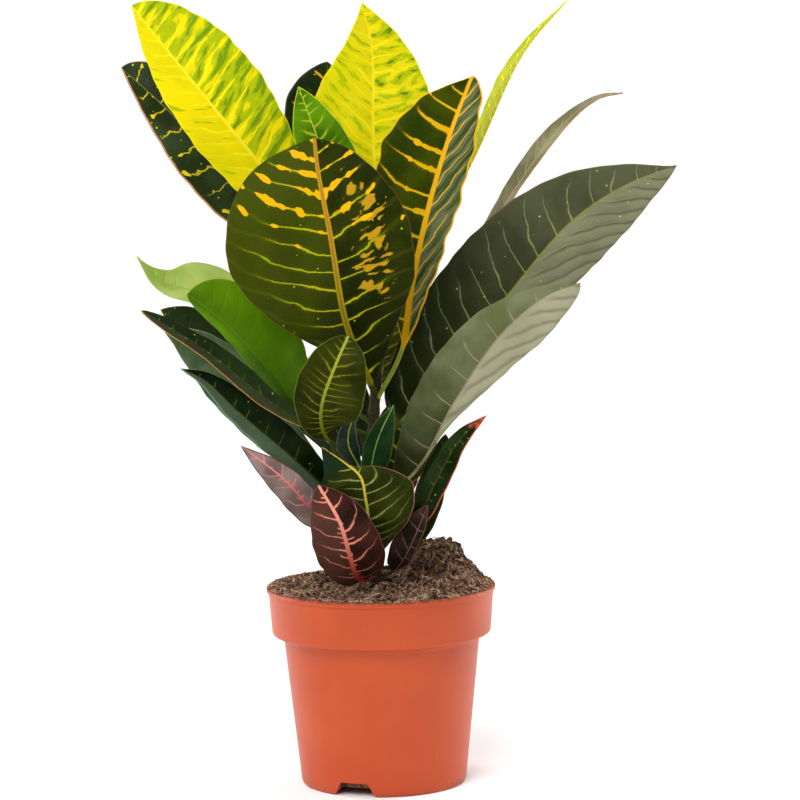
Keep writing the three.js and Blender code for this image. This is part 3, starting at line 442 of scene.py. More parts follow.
class Paint:
    """A material built from nodes around one Principled shader."""

    def __init__(self, name):
        self.material = bpy.data.materials.new(name)
        self.material.use_nodes = True
        self.tree = self.material.node_tree
        self.shader = self.tree.nodes["Principled BSDF"]
        self.color = None

    def plug(self, socket, value):
        if isinstance(value, Field):
            self.tree.links.new(value.socket, socket)
        elif isinstance(value, tuple):
            socket.default_value = (*value, 1) if len(socket.default_value) == 4 else value
        else:
            socket.default_value = value

    def node(self, kind, inputs, output=0, **settings):
        made = self.tree.nodes.new("ShaderNode" + kind)
        for key, value in settings.items():
            setattr(made, key, value)
        for key, value in inputs.items():
            self.plug(made.inputs[key], value)
        return Field(self, made.outputs[output])

    def pair(self, name):
        """The two numbers of one of the mesh's UV maps."""
        both = self.node("UVMap", {}, uv_map=name)
        return [self.node("SeparateXYZ", {0: both}, k) for k in (0, 1)]

    def place(self):
        """Where the point is, in millimetres."""
        at = self.node("TexCoord", {}, 3)
        return [self.node("SeparateXYZ", {0: at}, k) * 1000 for k in range(3)]

    def joined(self, x, y, z):
        return self.node("CombineXYZ", {0: x, 1: y, 2: z})

    def noise(self, x, y, z, scale=1, detail=2):
        return self.node("TexNoise", {"Vector": self.joined(x, y, z), "Scale": scale, "Detail": detail})

    def random(self, x):
        return self.node("TexWhiteNoise", {"W": x}, noise_dimensions="1D")

    def cells(self, x, y, feature="F1", output="Distance"):
        inputs = {"Vector": self.joined(x, y, 0), "Scale": 1}
        return self.node("TexVoronoi", inputs, output, feature=feature, voronoi_dimensions="2D")

    def blend(self, a, b, share):
        return self.node("Mix", {0: share, 6: a, 7: b}, 2, data_type="RGBA")

    def coat(self, tone, share):
        """Lays a tone over the colour so far."""
        self.color = self.blend(self.color, tone, share)

    def finish(self, shine, roughness, height, depth, strength=0.6):
        bump = self.node("Bump", {"Height": height, "Distance": depth * 0.001, "Strength": strength})
        for key, value in {"Base Color": self.color, "Roughness": roughness, "Normal": bump,
                           "Specular IOR Level": shine}.items():
            self.plug(self.shader.inputs[key], value)
        return self.material


def by_side(amounts, right):
    left_amount, right_amount = amounts
    if left_amount == right_amount:
        return left_amount
    return right * (right_amount - left_amount) + left_amount


def leaf_top(name, look, length, seed):
    """The patterned side of a leaf, painted along its own veins."""
    paint = Paint(name)
    phase, share = paint.pair("veins")
    across, blade = paint.pair("blade")
    out, away, right = abs(share), abs(across), across.above(0)
    up = blade * length
    spacing = by_side(look.spacing, right)
    half_width = away / out.at_least(0.02)
    row = phase.floor()
    luck, other_luck = paint.random(row + seed), paint.random(row + (seed + 0.5))
    grit = paint.noise(across, up, seed, 0.9)
    drift = paint.noise(across, up, seed + 5, 0.16, 1)
    off = abs(phase - row - 0.5 + (drift - 0.5) * look.drift) * spacing + (grit - 0.5) * look.ragged
    broad = paint.noise(across, up, seed + 7, 0.045, 3)
    paint.color = paint.blend(*look.ground, broad.between(0.35, 0.65))
    # Painted sheen: a lighter tone laid over one half stands for light falling on that half.
    if max(look.pale):
        paint.coat(look.pale_tone, (broad * 0.5 + 0.6) * by_side(look.pale, right))
    # Painted shade beside the midrib.
    if look.deep:
        paint.coat(tuple(x * 0.3 for x in look.ground[0]), (1 - out.between(0.1, 0.65)) * look.deep)
    # Painted shade: the blade is darker towards its stalk's end.
    if look.foot:
        reach = by_side(look.foot_reach, right)
        paint.coat(look.foot, 1 - (blade + (broad - 0.5) * 0.3).between(0, reach))
    # Painted shade in the hollow beside each vein.
    if max(look.pleat):
        hollow = 1 - abs(phase - row - 0.4).between(0, 0.26)
        hollow = hollow * out.between(0.05, 0.3) * by_side(look.pleat, right)
        paint.coat(tuple(x * 0.35 for x in look.pale_tone), hollow)
    net = paint.cells(across * 0.45, up * 0.45, "DISTANCE_TO_EDGE").between(0.0, 0.09)
    paint.coat(look.vein[1], (1 - net) * look.net)
    paint.coat(look.vein[1], (1 - off.between(0, 2.2)) * (1 - out * 0.6) * look.halo)
    if max(look.dabs) > -1:
        along_vein = paint.noise(phase * 3, away / look.dab_length, seed, 1, 3)
        panel = abs(phase - row - 0.5) * 2
        dab = along_vein * 1.1 + panel * 0.28 + out * 0.12 + by_side(look.dabs, right)
        paint.coat(look.dab[0], dab.between(0.72, 0.86))
        paint.coat(look.dab[1], dab.between(0.92, 1.04))
    end = other_luck * 0.3 + (look.reach - 0.15)
    width = (1 - out * 0.75) * (luck * 0.8 + 0.5) * look.vein_width
    line = (1 - off.between(width, width + 0.45)) * (1 - out.between(end - 0.15, end + 0.08))
    paint.coat(paint.blend(*look.vein, out.between(0.15, 0.7)), line * look.gain)
    if look.bead:
        beyond = (out - end) * half_width
        apart = (off * off + beyond * beyond).math("SQRT")
        radius = luck * look.bead
        paint.coat(look.vein[1], 1 - apart.between(radius, radius + 0.3))

    def within(low, high):
        """0 between the two shares of the blade, falling to -0.3 outside."""
        return (blade.between(low - 0.15, low + 0.1) - blade.between(high, high + 0.2)) * 0.3 - 0.3

    if max(look.blotches) > -1:
        blotch = paint.noise(phase * 3, away / 10, seed + 3, 1, 1.5) + by_side(look.blotches, right)
        blotch = blotch + within(*look.zone) + out.between(0.1, 0.45) * 0.2 - out.between(0.65, 0.9) * 0.25
        paint.coat(look.blotch, (blotch + (grit - 0.5) * 0.12).between(0.53, 0.59))
    if max(look.streaks) > -1:
        swell = paint.noise(row * 5.3 + seed, away / look.streak_length, 0, 1, 1)
        swell = swell + by_side(look.streaks, right) + within(*look.streak_zone) - out.between(0.5, 0.8) * 0.1
        swell = swell.between(0.5, 0.68) * look.streak_width
        paint.coat(look.streak, (1 - off.between(swell - 0.25, swell + 0.2)) * swell.above(0.08))
    if look.flecks:
        size = look.fleck_size
        dots = paint.cells(across / size, up / size)
        chance = paint.node("SeparateColor", {0: paint.cells(across / size, up / size, output="Color")})
        reach = chance.between(1 - look.flecks, 1) * 0.1 + (grit - 0.5) * 0.1
        paint.coat(look.fleck, (1 - dots.between(reach - 0.02, reach + 0.02)) * chance.above(1 - look.flecks))
    if look.thorns:
        half_row = (phase * 3).floor()
        short = abs(phase * 3 - half_row - 0.5) * spacing / 3 + (grit - 0.5)
        reach = (paint.random(half_row + seed) - 0.35) * 0.42
        paint.coat(look.vein[0], (1 - short.between(0.25, 0.7)) * (1 - out.between(reach, reach + 0.05)))
    edge = (half_width - away + (grit - 0.5) * 0.3 - by_side(look.edge_width, right)).between(0, 0.35)
    paint.coat(look.edge, (1 - edge) * out.between(0.3, 0.5))
    if look.tip:
        start = (drift - 0.5) * 0.2 + look.tip_from
        paint.coat(look.tip, blade.between(start, start + 0.05))
    rib_width = look.rib_width
    rib = away + (grit - 0.5) * 0.5 + blade * rib_width * look.rib_taper
    core = (1 - away.between(0.2, rib_width * 0.5)) * look.core
    rib_color = paint.blend(paint.blend(*look.rib, blade.between(0.1, 0.9)), look.ground[1], core)
    paint.coat(rib_color, 1 - rib.between(rib_width - 0.3, rib_width + 0.15))
    paint.color = paint.blend(look.stalk, paint.color, blade.between(0.0, 0.03))
    height = off.between(0, 1.4) * 0.5 + net * 0.12 + grit * 0.12
    roughness = (grit - 0.5) * 0.16 + (broad - 0.5) * 0.2 + look.gloss
    return paint.finish(look.shine, roughness, height, 0.35)


def leaf_under(name, look, length, seed):
    """The plain, paler side of a leaf, with its veins standing out."""
    paint = Paint(name)
    phase, share = paint.pair("veins")
    across, blade = paint.pair("blade")
    out, away = abs(share), abs(across)
    up = blade * length
    grit = paint.noise(across, up, seed, 0.6)
    spacing = by_side(look.spacing, across.above(0))
    off = abs(phase - phase.floor() - 0.5) * spacing + (grit - 0.5) * 0.5
    vein = 1 - off.between(0.2, 0.9 - out * 0.4)
    rib = 1 - (away + blade * 1.2).between(1.4, 1.9)
    net = 1 - paint.cells(across * 0.5, up * 0.5, "DISTANCE_TO_EDGE").between(0, 0.1)
    darker = tuple(x * 0.7 for x in look.under)
    lighter = tuple(min(1, x * 1.5 + 0.03) for x in look.under)
    paint.color = paint.blend(darker, look.under, grit.between(0.3, 0.7))
    paint.coat(lighter, (vein * 0.7 + net * 0.15).at_least(rib))
    paint.color = paint.blend(look.stalk, paint.color, blade.between(0.0, 0.03))
    height = vein + rib + net * 0.2 + grit * 0.2
    return paint.finish(look.shine, grit * 0.2 + 0.45, height, 0.3)


# ---------------------------------------------------------------- meshes


def new_object(name, data):
    made = bpy.data.objects.new(name, data)
    bpy.context.scene.collection.objects.link(made)
    return made


def solid(vertices, faces, name="scratch"):
    """An object from points in millimetres."""
    mesh = bpy.data.meshes.new(name)
    mesh.from_pydata(mm(vertices).tolist(), [], faces)
    return new_object(name, mesh)


def add_piece(name, vertices, faces, materials, stands_for, slots_of=None, maps=None):
    """A smooth mesh piece. slots_of: each face's material. maps: its UV maps."""
    piece = solid(vertices, faces, name)
    mesh = piece.data
    for material in materials:
        mesh.materials.append(material)
    if slots_of is not None:
        mesh.polygons.foreach_set("material_index", np.asarray(slots_of, np.int32))
    mesh.polygons.foreach_set("use_smooth", np.ones(len(mesh.polygons), bool))
    for key, values in (maps or {}).items():
        layer = mesh.uv_layers.new(name=key)
        layer.uv.foreach_set("vector", np.asarray(values, np.float32).ravel())
    mesh.validate()
    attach(piece, "root")
    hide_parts(stands_for)


def half_shape(half, t):
    """Half-width of one half of a blade, as a share of its greatest, at a share t of the blade's length."""
    _, peak, base, tip = half
    away = np.where(t < peak, 1 - t / peak, (t - peak) / (1 - peak))
    return np.clip(1 - away * away, 0, 1) ** np.where(t < peak, base, tip)


def leaf_half(leaf, look, side, columns, stations, seed):
    """One half of a leaf's two faces, from its midrib outwards, with what the veins are drawn by."""
    along, blade, is_blade, stalk_radius, centre, up, right, length = stations
    half = leaf.right if side > 0 else leaf.left
    spacing, slant, curl, puff, fold = (
        pair[side > 0] for pair in (look.spacing, look.slant, look.curl, look.puff, halves(leaf.fold)))
    outline = half_shape(half, blade)
    run = along * length
    unevenness = np.sin(0.31 * run + seed) * np.sin(0.12 * run + 2 * seed + side)
    reach = (stalk_radius**4 + ((half[0] + look.ruffle * (unevenness - 0.5)) * outline) ** 4) ** 0.25
    rib = np.minimum(0.33, RIB_STRIP / reach)
    spread = 1 - (1 - np.linspace(0, 1, columns)) ** 1.3
    out = np.concatenate([rib[:, None] * (0, 1 / 3, 2 / 3), rib[:, None] + (1 - rib[:, None]) * spread], axis=1)
    along, blade, is_blade, stalk_radius, outline, reach, run = (
        x[:, None] for x in (along, blade, is_blade, stalk_radius, outline, reach, run))
    away = reach * out
    run = run + 1.3 * np.sin(0.23 * run + seed) + 0.5 * np.sin(0.61 * run + 2 * seed + side)
    phase = (run - away * (slant + curl * out**2)) / spacing + (100.5 if side > 0 else 0)
    angle = np.radians(fold) * is_blade
    height, count, shift = leaf.wave
    ripple = np.sin(2 * np.pi * count * blade + shift + side)
    puff = puff * min(1, half[0] / 25) * (np.abs(np.cos(np.pi * phase)) ** 0.8 - 0.5)
    puff = puff * smoothstep(out, 0.03, 0.2) * (1 - smoothstep(out, 0.8, 1)) * (1 - 0.5 * blade)
    arch = 0.2 * min(8, half[0] * 0.25) * out * (1 - out) * outline
    groove = (0.45 * np.exp(-(away / 1.0) ** 2) - 0.8 * np.exp(-(away / 3.2) ** 2)) * (1 - 0.8 * blade)
    lift = away * np.sin(angle) + (height * out**2 * ripple * outline + puff + arch + groove) * is_blade
    point = centre[:, None] + up[:, None] * lift[..., None]
    point = point + right[:, None] * (side * away * np.cos(angle))[..., None]
    angle = np.where(out > 0, angle, 0)
    skin = up[:, None] * np.cos(angle)[..., None] - right[:, None] * (side * np.sin(angle))[..., None]
    round_half = stalk_radius * np.sqrt(np.clip(1 - out**2, 0, 1)) + 0.1
    sheet = SHEET * np.sqrt(np.clip(1 - out**8, 0, 1)) + SHEET_EDGE
    keel = KEEL * (1 - along) * np.exp(-((away / 1.4) ** 2))
    top = round_half + (sheet - round_half) * is_blade
    bottom = round_half + (sheet + keel - round_half) * is_blade
    made = dict(top=point + skin * top[..., None], bottom=point - skin * bottom[..., None],
                phase=phase, share=side * out, across=side * away, blade=blade + 0 * out)
    return made if side > 0 else {key: value[:, :0:-1] for key, value in made.items()}, phase[:, 0]


def add_leaf(name, leaf, seed):
    """A leaf as one closed sheet with a patterned top and a plain underside."""
    look = {**PLAIN, **LOOKS[leaf.look], **OWN.get(name, {})}
    look = SimpleNamespace(**{key: halves(value) if key in BY_HALF else value for key, value in look.items()})
    spine = curve_through([stem_point(leaf.start), *leaf.spine])
    run = np.concatenate([[0], np.cumsum(np.linalg.norm(np.diff(spine, axis=0), axis=1))])
    length = run[-1]
    count = int(np.clip(length / ROW_STEP, *ROWS))
    along = 1 - (1 - np.linspace(0, 1, count + 1)) ** 1.4

    def on_spine(values):
        return np.stack([np.interp(along * length, run, values[:, k]) for k in range(3)], axis=1)

    centre, forward = on_spine(spine), unit(on_spine(np.gradient(spine, run, axis=0)))
    faces = np.array(leaf.face, float)
    marks = np.linspace(0, 1, len(faces))
    up = np.stack([np.interp(along, marks, faces[:, k]) for k in range(3)], axis=1)
    up = unit(up - forward * (up * forward).sum(1, keepdims=True))
    right = np.cross(forward, up)
    blade = np.clip((along - leaf.stalk) / (1 - leaf.stalk), 0, 1)
    size = leaf.left[0] + leaf.right[0]
    stalk_radius = (0.8 + size * 0.011) * (1 - 0.7 * along) * (1 - 0.7 * smoothstep(blade, 0.85, 1))
    is_blade = smoothstep(along, leaf.stalk, leaf.stalk + 0.12)
    stations = (along, blade, is_blade, stalk_radius, centre, up, right, length)
    columns = int(np.clip(max(leaf.left[0], leaf.right[0]) / COLUMN_STEP, *COLUMNS))
    left_half, left_phase = leaf_half(leaf, look, -1, columns, stations, seed)
    right_half, _ = leaf_half(leaf, look, 1, columns, stations, seed)
    both = {key: np.concatenate([left_half[key], right_half[key]], axis=1) for key in left_half}
    wide = both["share"].shape[1]
    middle = (wide - 1) // 2
    vertices = np.concatenate([both["top"].reshape(-1, 3), both["bottom"].reshape(-1, 3)])
    low = (count + 1) * wide
    at = np.arange(low).reshape(-1, wide)
    a, b, c, d = at[:-1, :-1], at[:-1, 1:], at[1:, 1:], at[1:, :-1]
    ends = np.arange(wide - 1) >= middle
    on_face = np.broadcast_to(ends, a.shape).ravel()

    def wall(line, order=(0, 1, 2, 3)):
        """The faces from a line of the top's points to the same points of the underside."""
        return np.stack([line[:-1], line[1:], line[1:] + low, line[:-1] + low], -1)[:, order]

    turned = (0, 3, 2, 1)
    groups = [  # faces, which of them are on the right half, and their material
        (np.stack([a, b, c, d], -1).reshape(-1, 4), on_face, 0),
        (np.stack([d, c, b, a], -1).reshape(-1, 4) + low, on_face, 1),
        (wall(at[:, 0]), np.zeros(count, bool), 0), (wall(at[:, -1], turned), np.ones(count, bool), 0),
        (wall(at[0], turned), ends, 0), (wall(at[-1]), ends, 0),
    ]
    quads, on_right = (np.concatenate([group[k] for group in groups]) for k in (0, 1))
    slots_of = np.concatenate([np.full(len(group[0]), group[2]) for group in groups])
    corner = quads % low
    phase_left = both["phase"].copy()
    phase_left[:, middle] = left_phase
    phase = np.where(on_right[:, None], both["phase"].ravel()[corner], phase_left.ravel()[corner])
    share, across, blade_at = (both[key].ravel()[corner] for key in ("share", "across", "blade"))
    maps = {"veins": np.stack([phase, share], -1), "blade": np.stack([across, blade_at], -1)}
    blade_length = length * (1 - leaf.stalk)
    materials = [leaf_top(name + "_top", look, blade_length, seed),
                 leaf_under(name + "_under", look, blade_length, seed)]
    add_piece("leaf_" + name, vertices, quads.tolist(), materials, "leaf_" + name,
              slots_of, maps)


for index, (name, leaf) in enumerate(LEAVES.items()):
    add_leaf(name, leaf, seed=1.7 * index + 3)

# ---------------------------------------------------------------- the pot


def rounded(profile, radius=0.8, steps=4, support=1.2):
    """The profile with its corners turned into small arcs, and points beside them to hold the shading."""
    p = np.array(profile, float)
    made = [p[0]]
    for before, at, after in zip(p, p[1:], p[2:]):
        back, ahead = before - at, after - at
        room = min(np.linalg.norm(back), np.linalg.norm(ahead))
        cut = min(radius, room * 0.4)
        back, ahead = unit(back), unit(ahead)
        held = room > 3 * (cut + support)
        if held:
            made.append(at + back * (cut + support))
        for share in np.linspace(0, 1, steps + 1):
            start, end = at + back * cut, at + ahead * cut
            made.append(start * (1 - share) ** 2 + at * 2 * share * (1 - share) + end * share**2)
        if held:
            made.append(at + ahead * (cut + support))
    return np.array([*made, p[-1]])


def lathe(profile, sides=160):
    """A closed mesh turned from a profile that starts and ends on the axis."""
    inner = np.array(profile[1:-1])
    turns = np.arange(sides) * 2 * np.pi / sides
    ring = np.stack([np.cos(turns), np.sin(turns)], -1)
    rows = [np.concatenate([r * ring, np.full((sides, 1), z)], axis=1) for r, z in inner]
    vertices = np.vstack([*rows, [0, 0, profile[0][1]], [0, 0, profile[-1][1]]])
    faces = ring_faces(len(inner), sides)
    bottom, top, last = len(vertices) - 2, len(vertices) - 1, (len(inner) - 1) * sides
    for j in range(sides):
        k = (j + 1) % sides
        faces += [(bottom, k, j), (top, last + j, last + k)]
    return vertices, faces


def cut_away(body, *tools):
    """Takes the tools out of body and uses them up."""
    for tool in tools:
        cut = body.modifiers.new("cut", "BOOLEAN")
        cut.operation, cut.object, cut.solver = "DIFFERENCE", tool, "EXACT"
    bpy.context.view_layer.update()
    made = bpy.data.meshes.new_from_object(body.evaluated_get(bpy.context.evaluated_depsgraph_get()))
    body.modifiers.clear()
    body.data = made
    for tool in tools:
        bpy.data.objects.remove(tool)


def notch(turn, grow):
    """A drain notch: a tunnel with sloping sides from the pot's wall inwards."""
    foot, top = NOTCH["foot_width"] / 2 + grow, NOTCH["top_width"] / 2 + grow
    low, high = (0 if grow else -1), NOTCH["height"] + grow
    outer, inner = FOOT_RADIUS + 6, FOOT_RADIUS - NOTCH["depth"] - grow
    outline = [(-foot, low), (foot, low), (top, high), (-top, high)]
    c, s = math.cos(turn), math.sin(turn)
    points = [(x * c - y * s, x * s + y * c, z) for y in (inner, outer) for x, z in outline]
    return solid(points, [(0, 1, 2, 3), (7, 6, 5, 4), (0, 4, 5, 1), (1, 5, 6, 2), (2, 6, 7, 3), (3, 7, 4, 0)])


def pot_paint():
    paint = Paint("pot_plastic")
    x, y, z = paint.place()
    broad = paint.noise(x, y, z, 0.02, 2)
    fine = paint.noise(x, y, z, 1.6, 3)
    scuff = paint.noise(x, y, z * 0.25, 0.35, 4)
    paint.color = paint.blend((0.44, 0.058, 0.013), (0.495, 0.072, 0.0165), broad.between(0.3, 0.7))
    paint.coat((0.6, 0.16, 0.08), scuff.between(0.62, 0.8) * 0.12)
    soil_line = z.between(POT_HEIGHT - 1.6, POT_HEIGHT - 0.2) * scuff.between(0.35, 0.6)
    at_sides = abs(x - POT_AT[0]).between(FOOT_RADIUS - 14, FOOT_RADIUS - 4)
    dirt = (1 - z.between(1, 7)) * paint.noise(x, y, z, 0.6, 3).between(0.5, 0.6) * at_sides
    paint.coat((0.07, 0.03, 0.015), (soil_line * 0.75).at_least(dirt * 0.8))
    return paint.finish(0.28, (fine - 0.5) * 0.12 + scuff * 0.12 + 0.36, fine + broad, 0.12, 0.4)


# Radius and height along the pot's outside, upwards, and along its inside, downwards.
OUTSIDE = [
    (FOOT_RADIUS - 3, 0), (FOOT_RADIUS - 0.8, 0.4), (FOOT_RADIUS, 2.6), (NECK_RADIUS, BAND_FOOT - 3),
    (NECK_RADIUS + 1, BAND_FOOT - 1.4), (BAND_RADIUS - 1, BAND_FOOT), (BAND_RADIUS, BAND_FOOT + 1),
    (RIM_RADIUS - LIP, POT_HEIGHT - 3.6), (RIM_RADIUS, POT_HEIGHT - 2.6), (RIM_RADIUS, POT_HEIGHT),
]
FLOOR_TOP = FOOT_RING + WALL
INSIDE = [
    (RIM_RADIUS - 1.9, POT_HEIGHT), (RIM_RADIUS - LIP - WALL, POT_HEIGHT - 1.4),
    (BAND_RADIUS - WALL, BAND_FOOT + 2), (NECK_RADIUS - WALL, BAND_FOOT - 2), (FOOT_RADIUS - WALL, FLOOR_TOP),
]
above_rim = POT_HEIGHT + 1
hollow = [(0, FLOOR_TOP), *INSIDE[:0:-1], (INSIDE[0][0], above_rim), (0, above_rim)]
cavity = solid(*lathe(rounded(hollow)))
turns = [math.radians(NOTCH["turn"] - 90 + 360 / NOTCH["count"] * k) for k in range(NOTCH["count"])]
cut_away(cavity, *[notch(turn, WALL) for turn in turns])
drains = []
for k in range(DRAIN["count"]):
    turn = 2 * math.pi * (k + 0.5) / DRAIN["count"]
    radius, top = DRAIN["radius"], DRAIN["top"]
    vertices, faces = lathe([(0, -1), (radius, -1), (radius, top), (0, top)], 24)
    drains.append(solid(vertices + (*polar(DRAIN["ring"], turn), 0), faces))
below = solid(*lathe([(0, -1), (FOOT_RADIUS - 5, -1), (FOOT_RADIUS - 5, FOOT_RING), (0, FOOT_RING)]))
pot = solid(*lathe(rounded([(0, 0), *OUTSIDE, (0, POT_HEIGHT)])))
cut_away(pot, below, cavity, *[notch(turn, 0) for turn in turns], *drains)
pot.name = "pot_shell"
pot.data.name = "pot_shell"
pot.data.materials.clear()
pot.data.materials.append(pot_paint())
pot.data.polygons.foreach_set("use_smooth", np.ones(len(pot.data.polygons), bool))
pot.data.set_sharp_from_angle(angle=math.radians(35))
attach(pot, "root")
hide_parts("pot")

# ---------------------------------------------------------------- the soil


def inside_radius(z):
    radii, heights = zip(*INSIDE[::-1])
    return float(np.interp(z, heights, radii))


def soil_height(x, y):
    """The soil's surface: nearly level, heaped towards the back on the right."""
    dx = (x - SOIL["mound_at"][0]) / SOIL["mound_spread"][0]
    dy = (y - SOIL["mound_at"][1]) / SOIL["mound_spread"][1]
    lumps = 0.9 * np.sin(x * 0.21 + 1) * np.cos(y * 0.17) + 0.5 * np.sin(x * 0.11 - y * 0.29)
    lumps += 1.4 * np.exp(-(((x + 52) / 14) ** 2))
    return POT_HEIGHT - SOIL["below_rim"] + SOIL["mound"] * np.exp(-dx * dx - dy * dy) + lumps


def crumbly(x, y):
    """How far the peat's clods stand out of the soil's surface."""
    big = noise.fractal((x * 0.16, y * 0.16, 3.1), 0.7, 2.2, 5)
    small = noise.cell_vector((x * 0.7, y * 0.7, 1.3)).x
    return 1.5 * big + 0.5 * (small - 0.5)


def peat_top(x, y):
    """The crumbly surface, held below the rim close to the pot's wall."""
    z = float(soil_height(x, y)) + crumbly(x, y)
    share = math.hypot(x, y) / SOIL_RADIUS
    return min(z, POT_HEIGHT - 0.6 + 70 * max(0, 1 - share)) if share > 0.8 else z


def soil_paint(name, dark, mid, pale, share):
    paint = Paint(name)
    x, y, z = paint.place()
    clods = paint.noise(x, y, z, 0.35, 5)
    fine = paint.noise(x, y, z, 1.8, 4)
    strands = paint.noise(x * 0.35, y + x * 0.5, z, 1.1, 3)
    paint.color = paint.blend(dark, mid, clods.between(0.35, 0.65))
    paint.coat(pale, (strands * 0.6 + fine * 0.4).between(0.62 - share, 0.74 - share))
    paint.coat(dark, paint.noise(x, y, z, 0.09, 2).between(0.48, 0.68) * 0.6)
    return paint.finish(0.2, clods * 0.2 + 0.75, clods + fine, 0.8, 1)


PEAT = ((0.02, 0.008, 0.004), (0.27, 0.13, 0.07), (0.65, 0.42, 0.27))
PALE_PEAT = ((0.11, 0.05, 0.027), (0.7, 0.42, 0.25), (1, 0.78, 0.54))
SOIL_RADIUS = inside_radius(POT_HEIGHT - 2) - SOIL["gap"]
SOIL_SIDES, SOIL_RINGS = 260, 96
turns = np.arange(SOIL_SIDES) * 2 * np.pi / SOIL_SIDES
rows = []
for z, radius in ((FLOOR_TOP + SOIL["gap"], FOOT_RADIUS - WALL - 1), (BAND_FOOT - 2, NECK_RADIUS - WALL - 0.6)):
    rows.append([(*polar(radius, t), z) for t in turns])
for share in np.sqrt(np.linspace(1, 0, SOIL_RINGS, endpoint=False)):
    rows.append([(x, y, peat_top(x, y)) for x, y in (polar(SOIL_RADIUS * share, t) for t in turns)])
add_piece("soil_bed", np.array(rows).reshape(-1, 3), tube_faces(len(rows), SOIL_SIDES),
          [soil_paint("peat", *PEAT, 0)], "soil")

SEED = 41
draw = np.random.default_rng(SEED)
CRUMBS = dict(count=1500, size=(0.6, 2.6))
FIBRES = dict(count=2300, on_rim=110, length=(3, 11), radius=(0.18, 0.5))
RIM_SPILL = dict(radius=(60, 63.2), right=0.15, left=3.35, spread=0.4)  # right, left, spread: angles
RIM_INNER = 60.2  # radius from which a fibre lies on the rim
REACH, REACH_AT_SIDES, SIDES_FROM = 60.5, 64, 35  # how far out a fibre may lie, and x from which it is a side


def scatter(count, edge=59.5):
    """Points on the soil, clear of the stem."""
    made = []
    while len(made) < count:
        x, y = draw.uniform(-edge, edge, 2)
        if math.hypot(x, y) < edge and math.hypot(x + 3, y - 1) > 6:
            made.append((x, y, peat_top(x, y)))
    return made


def on_rim(count):
    """Points on the rim, mostly left and right, where a little peat has spilled."""
    made = []
    for k in range(count):
        turn = draw.normal(RIM_SPILL["right" if k % 3 == 0 else "left"], RIM_SPILL["spread"])
        made.append((*polar(draw.uniform(*RIM_SPILL["radius"]), turn), POT_HEIGHT + 0.5))
    return made


def crumbs(spots, low, high):
    """Small rough clods, each a ball of two rings pushed about."""
    around = np.arange(7) * 2 * np.pi / 7
    ball = np.array([(0, 0, -1)] + [(math.cos(t + lag) * w, math.sin(t + lag) * w, h)
                     for h, w, lag in ((-0.45, 0.9, 0), (0.45, 0.9, 0.45)) for t in around] + [(0, 0, 1)])
    skin = []
    for j in range(7):
        k = (j + 1) % 7
        skin += [(0, 1 + k, 1 + j), (1 + j, 1 + k, 8 + j), (1 + k, 8 + k, 8 + j), (8 + j, 8 + k, 15)]
    vertices, faces = [], []
    for spot in spots:
        size = low * (high / low) ** (draw.random() ** 1.6)
        shape = ball * draw.uniform(0.6, 1.3, (16, 1)) * draw.uniform(0.6, 1.2, 3) * size
        turn = np.array(Matrix.Rotation(draw.uniform(0, 6.3), 3, Vector(draw.normal(size=3))))
        faces += [tuple(len(vertices) + k for k in face) for face in skin]
        vertices += (shape @ turn.T + spot + (0, 0, size * 0.25)).tolist()
    return vertices, faces


def fibres(spots, low, high):
    """Thin bent strands of peat, lying on the soil with the odd end standing up."""
    vertices, faces = [], []
    for spot in spots:
        length, radius = draw.uniform(low, high), draw.uniform(*FIBRES["radius"])
        turn, bend = draw.uniform(0, 6.3), draw.normal(0, 1.2)
        hump, end_lift = draw.uniform(0.2, 1.4), max(0, draw.normal(-1.2, 1.4))
        x, y = spot[:2]
        faces += tube_faces(6, 3, len(vertices))
        for k in range(6):
            z = peat_top(x, y) + 0.2 + hump * math.sin(k * math.pi / 5) + end_lift * (k / 5) ** 2
            z = max(z, POT_HEIGHT + 0.4) if math.hypot(x, y) > RIM_INNER else z
            side = np.array([-math.sin(turn), math.cos(turn), 0])
            thin = radius * (1 - 0.12 * k)
            for a in (0.5, 2.6, 4.7):
                vertices.append(np.array([x, y, z]) + side * math.cos(a) * thin + (0, 0, math.sin(a) * thin))
            x, y = x + math.cos(turn) * length / 5, y + math.sin(turn) * length / 5
            inward = min(1, (REACH_AT_SIDES if abs(x) > SIDES_FROM else REACH) / math.hypot(x, y))
            x, y = x * inward, y * inward
            turn += bend / 5
    return vertices, faces


vertices, faces = crumbs(scatter(CRUMBS["count"]), *CRUMBS["size"])
add_piece("soil_crumbs", vertices, faces, [soil_paint("peat_crumbs", *PEAT, 0.03)], "soil")
vertices, faces = fibres(scatter(FIBRES["count"]) + on_rim(FIBRES["on_rim"]), *FIBRES["length"])
add_piece("soil_fibres", vertices, faces, [soil_paint("peat_fibres", *PALE_PEAT, 0.14)], "soil")

# ---------------------------------------------------------------- the stem


def stem_paint():
    paint = Paint("bark")
    x, y, z = paint.place()
    ridges = paint.noise(x, y, z * 0.3, 1.2, 4)
    bands = paint.noise(x * 0.2, y * 0.2, z, 0.5, 3)
    young = z.between(150, 260)
    # The bark's tones are its own brown, darkened as painted shade for the shadow under the leaves.
    paint.color = paint.blend((0.03, 0.018, 0.01), (0.08, 0.055, 0.03), ridges.between(0.35, 0.7))
    paint.coat((0.03, 0.045, 0.01), young * bands.between(0.3, 0.6) * 0.8)
    return paint.finish(0.1, ridges * 0.2 + 0.55, ridges + bands, 0.5, 1)


